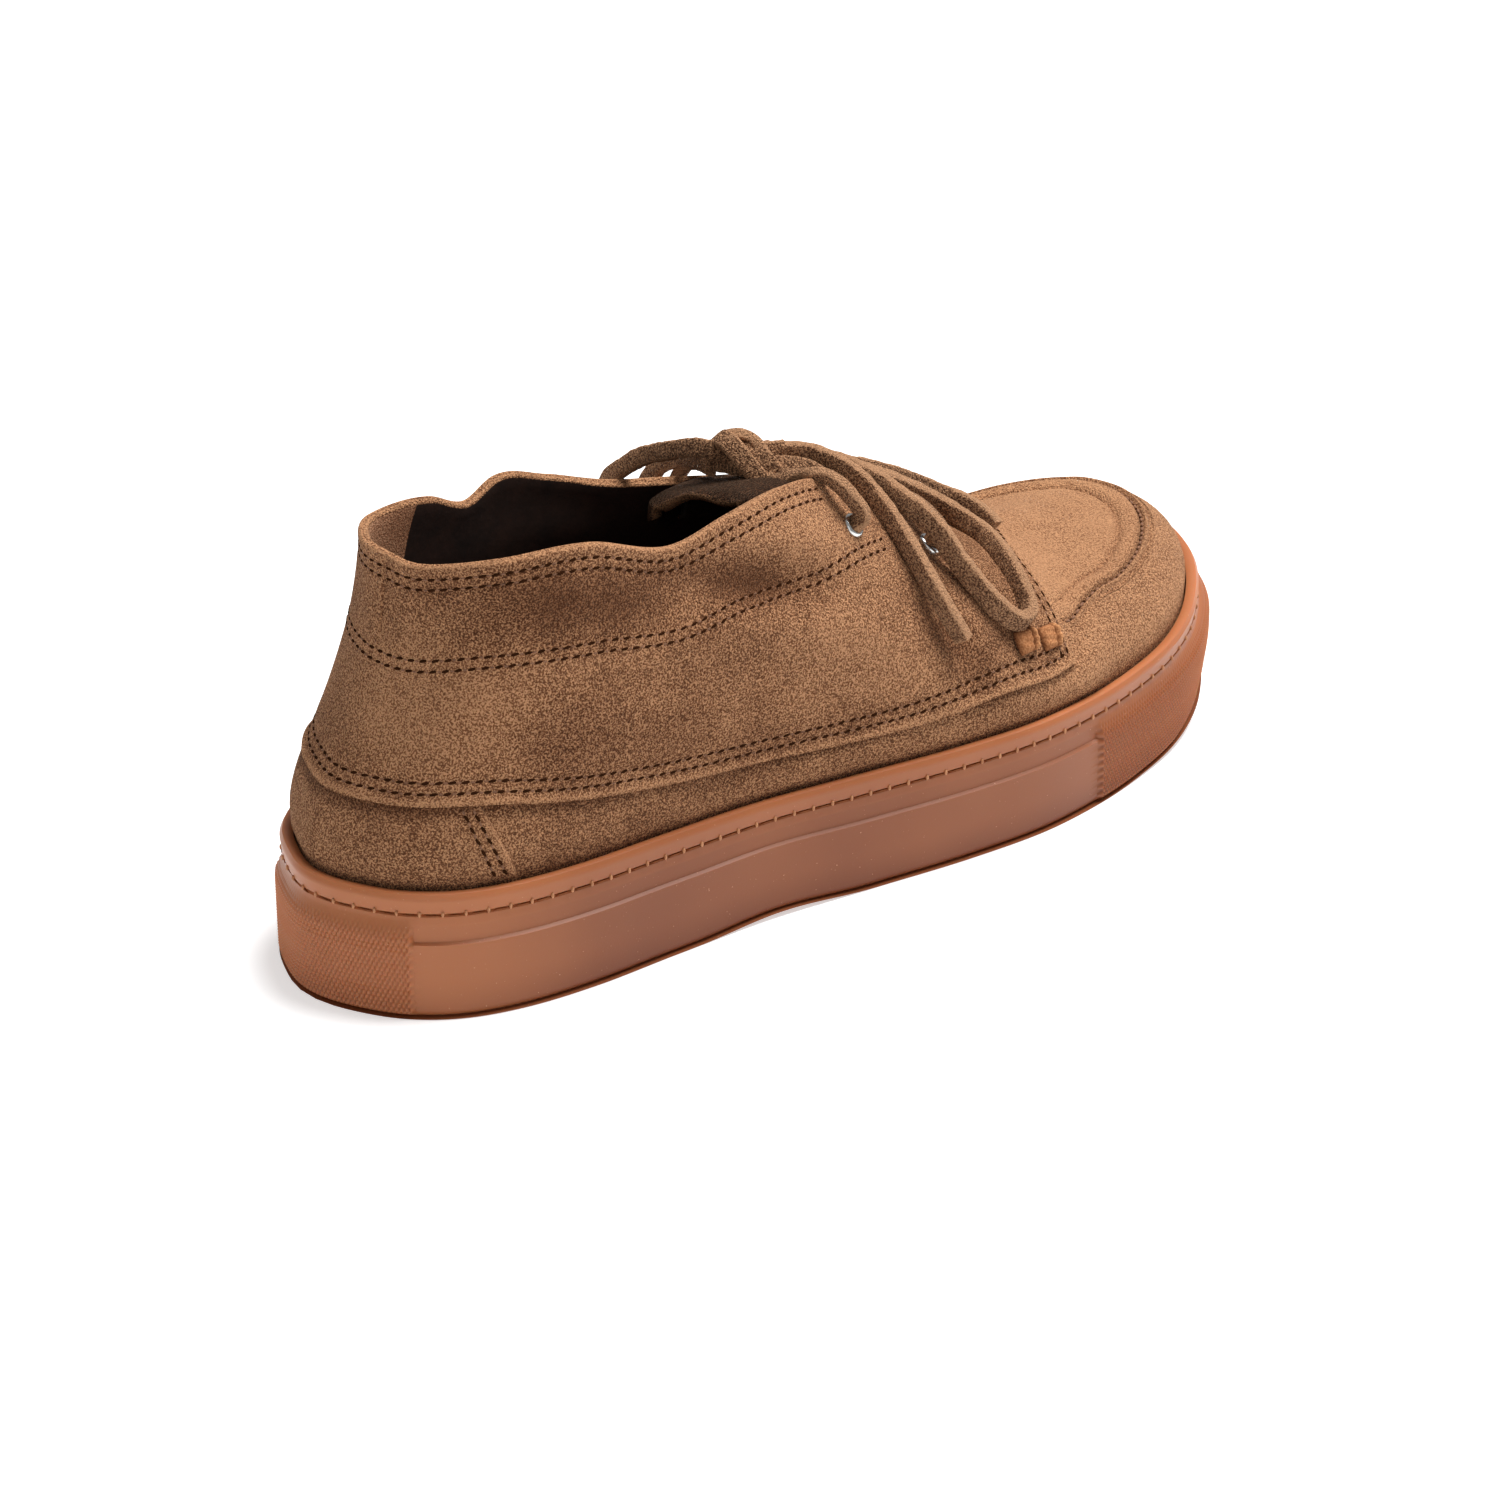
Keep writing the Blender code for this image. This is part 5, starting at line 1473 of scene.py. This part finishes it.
def make_lace(name, route, across, looks, seed, size=1.0, twist=0.0):
    """Square-cut thong swept along a route, its broad faces along the given direction."""
    path = lace_path(route)
    count = len(path)
    tangent = unit(np.gradient(path, axis=0))
    wide = unit(across - (tangent @ across)[:, None] * tangent)
    deep = np.cross(tangent, wide)
    draw = np.random.default_rng(seed)
    place = np.linspace(0, 1, count)
    wobble = sum(np.sin(place * count * LACE_STEP * 2 * math.pi / wave + draw.uniform(0, LACE_PHASE)) * share
                 for wave, share in LACE_WAVES)
    angle = (twist * place + LACE_WOBBLE * wobble)[:, None]
    wide, deep = wide * np.cos(angle) + deep * np.sin(angle), deep * np.cos(angle) - wide * np.sin(angle)
    ring = list(lace_section(LACE_WIDTH * size, LACE_THICK * size))
    swell = 1 + LACE_UNEVEN * wobble
    points = np.stack([path + wide * (u * swell)[:, None] + deep * (v * swell)[:, None] for u, v, _ in ring], 1)
    points = points + draw.normal(0, LACE_ROUGH, points.shape)
    flat = np.concatenate([points.reshape(-1, 3), path[[0, -1]]])
    first = len(flat) - 2
    start = (count - 1) * LACE_SIDES
    caps = [(first, (s + 1) % LACE_SIDES, s) for s in range(LACE_SIDES)]
    caps += [(first + 1, start + s, start + (s + 1) % LACE_SIDES) for s in range(LACE_SIDES)]
    tone = np.append(np.tile([flag for _, _, flag in ring], count), [1.0, 1.0]) * LACE_EDGE_TONE
    tone[:LACE_SIDES] = LACE_EDGE_TONE
    tone[start:] = LACE_EDGE_TONE
    piece = new_piece(name, flat, list(grid_faces(count, LACE_SIDES, True, False)) + caps, (looks["lace"],),
                      tone=tone)
    turn_outward(piece, sharp=LACE_SHARP)
    return piece, path


def knot_way(along, up, out):
    """Direction in the knot's own frame."""
    return along * KNOT_ALONG + up * KNOT_UP + out * KNOT_OUT


def make_laces(looks):
    for seed, (node, across, far_end, twist, size, move, route) in enumerate(LACES, start=LACE_SEED):
        name = node.replace("lace_", "suede_lace_")
        piece, path = make_lace(name, np.array(route) + move, np.array(across), looks, seed, size, twist)
        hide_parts(node)
        if far_end:
            length = float(chain_length(path)[-1])
            tuple(path[0])
            [tuple(p) for p in path]
    for seed, (name, turns, across) in enumerate(KNOT_TURNS, start=KNOT_SEED):
        route = [knot_way(*turn) + KNOT_CENTRE for turn in turns]
        piece, _ = make_lace(name, route, knot_way(*across), looks, seed)
        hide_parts("lace_knot")


# Stitches

def ball(segments, rings):
    """Points and faces of a small round grain."""
    points = [(0.0, 0.0, 1.0)]
    for r in range(1, rings):
        polar = math.pi * r / rings
        for s in range(segments):
            around = 2 * math.pi * s / segments
            points.append((math.sin(polar) * math.cos(around), math.sin(polar) * math.sin(around),
                           math.cos(polar)))
    points.append((0.0, 0.0, -1.0))
    faces = [(0, 1 + s, 1 + (s + 1) % segments) for s in range(segments)]
    for r in range(rings - 2):
        a = 1 + r * segments
        faces += [(a + s, a + segments + s, a + segments + (s + 1) % segments) for s in range(segments)]
        faces += [(a + s, a + segments + (s + 1) % segments, a + (s + 1) % segments) for s in range(segments)]
    last = len(points) - 1
    a = last - segments
    faces += [(last, a + (s + 1) % segments, a + s) for s in range(segments)]
    return np.array(points), np.array(faces)


def along_surface(points, normals, pitch):
    """Evenly spaced places on a line of surface points: centre, direction and normal."""
    run = chain_length(points)
    places = np.arange(pitch / 2, run[-1], pitch)

    def at(where, rows):
        return np.stack([np.interp(where, run, rows[:, axis]) for axis in range(3)], -1)

    way = unit(at(places + WAY_STEP, points) - at(places - WAY_STEP, points))
    return at(places, points), way, unit(at(places, normals))


def grains(centre, way, normal, half, shape):
    """Stretched grains at each place. half gives their half length, width and height."""
    points, faces = shape
    side = np.cross(normal, way)
    placed = centre[:, None]
    for axis, direction in enumerate((way, side, normal)):
        placed = placed + direction[:, None] * (points[None, :, axis:axis + 1] * half[axis])
    shifted = faces[None] + (np.arange(len(centre)) * len(points))[:, None, None]
    return placed.reshape(-1, 3), shifted.reshape(-1, 3)


def surface_line(turn, share, on_foot=False):
    """Points and normals on the finished outer face along a line of angles and shares."""
    part = foot_point if on_foot else wall_point
    plain_row = part(turn, share)
    normal = surface_normal(turn, share, part)
    if on_foot:
        lift = counter_lift(turn, share, from_heel(turn) < counter_turn(share), plain_row) + HOLE_RISE / 2
    else:
        quarter = (from_heel(turn) < front_edge(share)).astype(float)
        lift = quarter_lift(turn, share, quarter, plain_row, STITCH_SUNK)
    return plain_row + normal * lift[:, None], normal


def both_sides(turn, share, on_foot=False):
    yield surface_line(turn, share, on_foot)
    yield surface_line(2 * math.pi - turn, share, on_foot)


def stitch_lines():
    """Every row of stitches in the upper, as points and normals on its face."""
    turn = np.linspace(0, float(front_edge(0.0)) - EDGE_TURN, ROW_SAMPLES)
    for gap in ROW_GAPS:
        yield from both_sides(turn, gap / wall_length(turn))
    turn = np.linspace(0, float(turn_of(COLLAR_ROW_END)), ROW_SAMPLES)
    for gap in ROW_GAPS:
        yield from both_sides(turn, 1 - gap / wall_length(turn))
    along, up = np.array(LOWER_COLLAR).T
    turn = np.linspace(float(turn_of(along[0])), float(turn_of(along[-1])), COLLAR_LINE_SAMPLES)
    share = curve_through(share_of(turn), along, up)
    for gap in (-ROW_GAP / 2, ROW_GAP / 2):
        yield from both_sides(turn, share + gap / wall_length(turn))
    share = np.linspace(*FRONT_ROW_SPAN, FRONT_ROW_SAMPLES)
    for gap in ROW_GAPS:
        yield from both_sides(front_edge(share) - gap / (0.5 * LENGTH), share)
    share = np.linspace(*COUNTER_ROW_SPAN, COUNTER_ROW_SAMPLES)
    for gap in ROW_GAPS:
        yield from both_sides(counter_turn(share) - gap / COUNTER_RADIUS, share, True)


def make_stitches(looks):
    thread = []
    hole = []
    for points, normals in stitch_lines():
        centre, way, normal = along_surface(points, normals, STITCH_PITCH)
        slanted = unit(way + np.cross(normal, way) * HOLE_TILT)
        thread.append((centre + way * STITCH_PITCH / 2 - normal * THREAD_SINK, way, normal))
        hole.append((centre, slanted, normal))
    join_grains("stitch_thread", thread, (STITCH_LENGTH / 2, STITCH_THICK / 2, THREAD_RISE), ball(8, 4),
                looks["thread"])
    join_grains("stitch_holes", hole, (HOLE_LENGTH / 2, HOLE_WIDTH / 2, HOLE_RISE), ball(10, 4),
                looks["hole"])


def join_grains(name, rows, half, shape, look):
    """One piece of many grains. rows are centres, directions and normals, half the half sizes."""
    points, faces = grains(*(np.concatenate(part) for part in zip(*rows)), half, shape)
    new_piece(name, points, faces, (look,))


def make_moc_stitches(looks):
    """Bigger stitches that pucker the moc seam between its ridge and its puffed border."""
    start = float(front_edge(MOC_START)) + MOC_LEAD
    turn = np.linspace(start, 2 * math.pi - start, MOC_SAMPLES)
    share = np.full_like(turn, MOC_STITCH)
    at = share + seam_start(turn) * (1 - share)
    normal = surface_normal(turn, at, wall_point)
    points = wall_point(turn, at) + normal * seam_lift(turn, share)[:, None]
    centre, way, normal = along_surface(points, normal, MOC_PITCH)
    join_grains("moc_thread", [(centre + normal * MOC_THREAD_RISE, way, normal)], MOC_THREAD_HALF, ball(10, 6),
                looks["thread"])
    join_grains("moc_holes", [(centre + way * MOC_PITCH / 2 + normal * MOC_HOLE_RISE, way, normal)],
                MOC_HOLE_HALF, ball(8, 4), looks["hole"])


def make_sole_stitches(looks):
    """Thread in the groove under the sole's lip, with a nub at each hole."""
    turn = np.linspace(0, 2 * math.pi, RING_SAMPLES)
    normal = np.column_stack([-inward(turn), np.zeros(len(turn))])
    for name, height, inset, half, look, shift in SOLE_STITCHES:
        plan = outline(turn, inset)
        low = bottom_height(plan[:, 0])
        z = low + (lip_height(plan[:, 0]) - low) * height
        centre, way, facing = along_surface(np.column_stack([plan, z]), normal, SOLE_PITCH)
        join_grains(name, [(centre + way * SOLE_PITCH * shift, way, facing)], half, ball(10, 6), looks[look])


# Stage

def area_light(name, place, target, size, power):
    lamp = bpy.data.lights.new(name, "AREA")
    lamp.shape = "DISK"
    lamp.size = size
    lamp.energy = power
    item = bpy.data.objects.new(name, lamp)
    item.location = place
    item.rotation_euler = (Vector(target) - Vector(place)).to_track_quat("-Z", "Y").to_euler()
    bpy.context.scene.collection.objects.link(item)


def make_stage():
    mesh = bpy.data.meshes.new("floor")
    half = FLOOR_SIZE / 2
    mesh.from_pydata([(-half, -half, 0), (half, -half, 0), (half, half, 0), (-half, half, 0)], [], [(0, 1, 2, 3)])
    floor = bpy.data.objects.new("floor", mesh)
    floor.location.z = FLOOR_DROP
    look = bpy.data.materials.new("white_floor")
    look.use_nodes = True
    set_sockets(look.node_tree.nodes["Principled BSDF"], Base_Color=FLOOR_COLOUR, Roughness=0.9,
                Specular_IOR_Level=0.1, Emission_Color=WHITE, Emission_Strength=FLOOR_GLOW)
    mesh.materials.append(look)
    bpy.context.scene.collection.objects.link(floor)
    world = bpy.data.worlds.new("studio")
    world.use_nodes = True
    set_sockets(world.node_tree.nodes["Background"], Color=WHITE, Strength=WORLD_LIGHT)
    bpy.context.scene.world = world
    for row in LIGHTS:
        area_light(*row)


def make_camera():
    """Camera at the photograph's angle, aimed at the origin."""
    yaw, rise, roll = (math.radians(angle) for angle in (CAMERA_YAW, CAMERA_RISE, CAMERA_ROLL))
    back = Vector((math.sin(yaw) * math.cos(rise), -math.cos(yaw) * math.cos(rise), math.sin(rise)))
    right = Vector((math.cos(yaw), math.sin(yaw), 0))
    up = back.cross(right)
    across = right * math.cos(roll) + up * math.sin(roll)
    above = up * math.cos(roll) - right * math.sin(roll)
    camera = bpy.data.cameras.new("camera")
    camera.sensor_width = SENSOR
    camera.lens = CAMERA_LENS
    camera.shift_x, camera.shift_y = CAMERA_SHIFT
    camera.clip_end = CAMERA_REACH
    item = bpy.data.objects.new("camera", camera)
    axes = Matrix((across, above, back)).transposed().to_4x4()
    item.matrix_world = Matrix.Translation(back * CAMERA_DISTANCE) @ axes
    bpy.context.scene.collection.objects.link(item)
    bpy.context.scene.camera = item


def make_looks():
    return {
        "suede": suede("suede_brown", (0.080, 0.028, 0.011), (0.238, 0.100, 0.046), (0.58, 0.295, 0.148)),
        "heel": suede("heel_lining_suede", (0.26, 0.11, 0.055), (0.46, 0.22, 0.12), (0.62, 0.36, 0.22), nap=0.7),
        "lace": suede("lace_suede_fine", (0.050, 0.020, 0.009), (0.200, 0.094, 0.048), (0.52, 0.28, 0.15),
                      nap=1.1),
        # A darker copy of the suede, as painted shade on the tongue under the laces
        "tongue": suede("tongue_suede_painted_shade", (0.016, 0.006, 0.003), (0.095, 0.040, 0.019), (0.42, 0.22, 0.11)),
        "lining": plain("lining_leather", (0.012, 0.005, 0.003), (0.030, 0.012, 0.007), 0.6, scale=500.0),
        "footbed": plain("footbed_leather", (0.05, 0.04, 0.036), (0.10, 0.085, 0.078), 0.6, scale=500.0),
        "gum": gum("gum_sole", (0.14, 0.035, 0.012), (0.39, 0.135, 0.052)),
        "nickel": plain("eyelet_metal", (0.55, 0.55, 0.54), (0.72, 0.72, 0.70), 0.22, scale=900.0, depth=0.00002,
                        metallic=1.0),
        "thong": suede("thong_smooth", (0.08, 0.026, 0.010), (0.27, 0.108, 0.044), (0.60, 0.29, 0.13), nap=0.3,
                       sheen=0.0),
        "thread": plain("thread_brown", (0.12, 0.052, 0.025), (0.26, 0.12, 0.06), 0.8, scale=2000.0),
        # Near-black grains as painted shade in the needle holes
        "hole": plain("needle_hole_painted_shade", (0.022, 0.008, 0.003), (0.035, 0.012, 0.005), 1.0, scale=900.0),
        "sole_line": plain("sole_line_brown", (0.19, 0.064, 0.026), (0.29, 0.105, 0.044), 0.95, scale=2000.0),
        "sole_thread": plain("sole_thread_tan", (0.34, 0.13, 0.05), (0.52, 0.24, 0.11), 0.7, scale=2000.0),
    }


def main():
    bpy.context.scene.view_settings.view_transform = "Standard"
    looks = make_looks()
    make_camera()
    make_laces(looks)
    make_upper(looks)
    make_outsole(looks)
    tread = sole_plate("tread_plate", tread_height, -TREAD_OVERLAP, True, looks["gum"], TREAD_TONE)
    insole = sole_plate("insole_footbed", insole_height, INSOLE_INSET, False, looks["footbed"], 0.0)
    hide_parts("insole")
    make_tongue(looks)
    make_eyelets(looks)
    make_thongs(looks)
    make_stitches(looks)
    make_moc_stitches(looks)
    make_sole_stitches(looks)
    make_stage()


main()
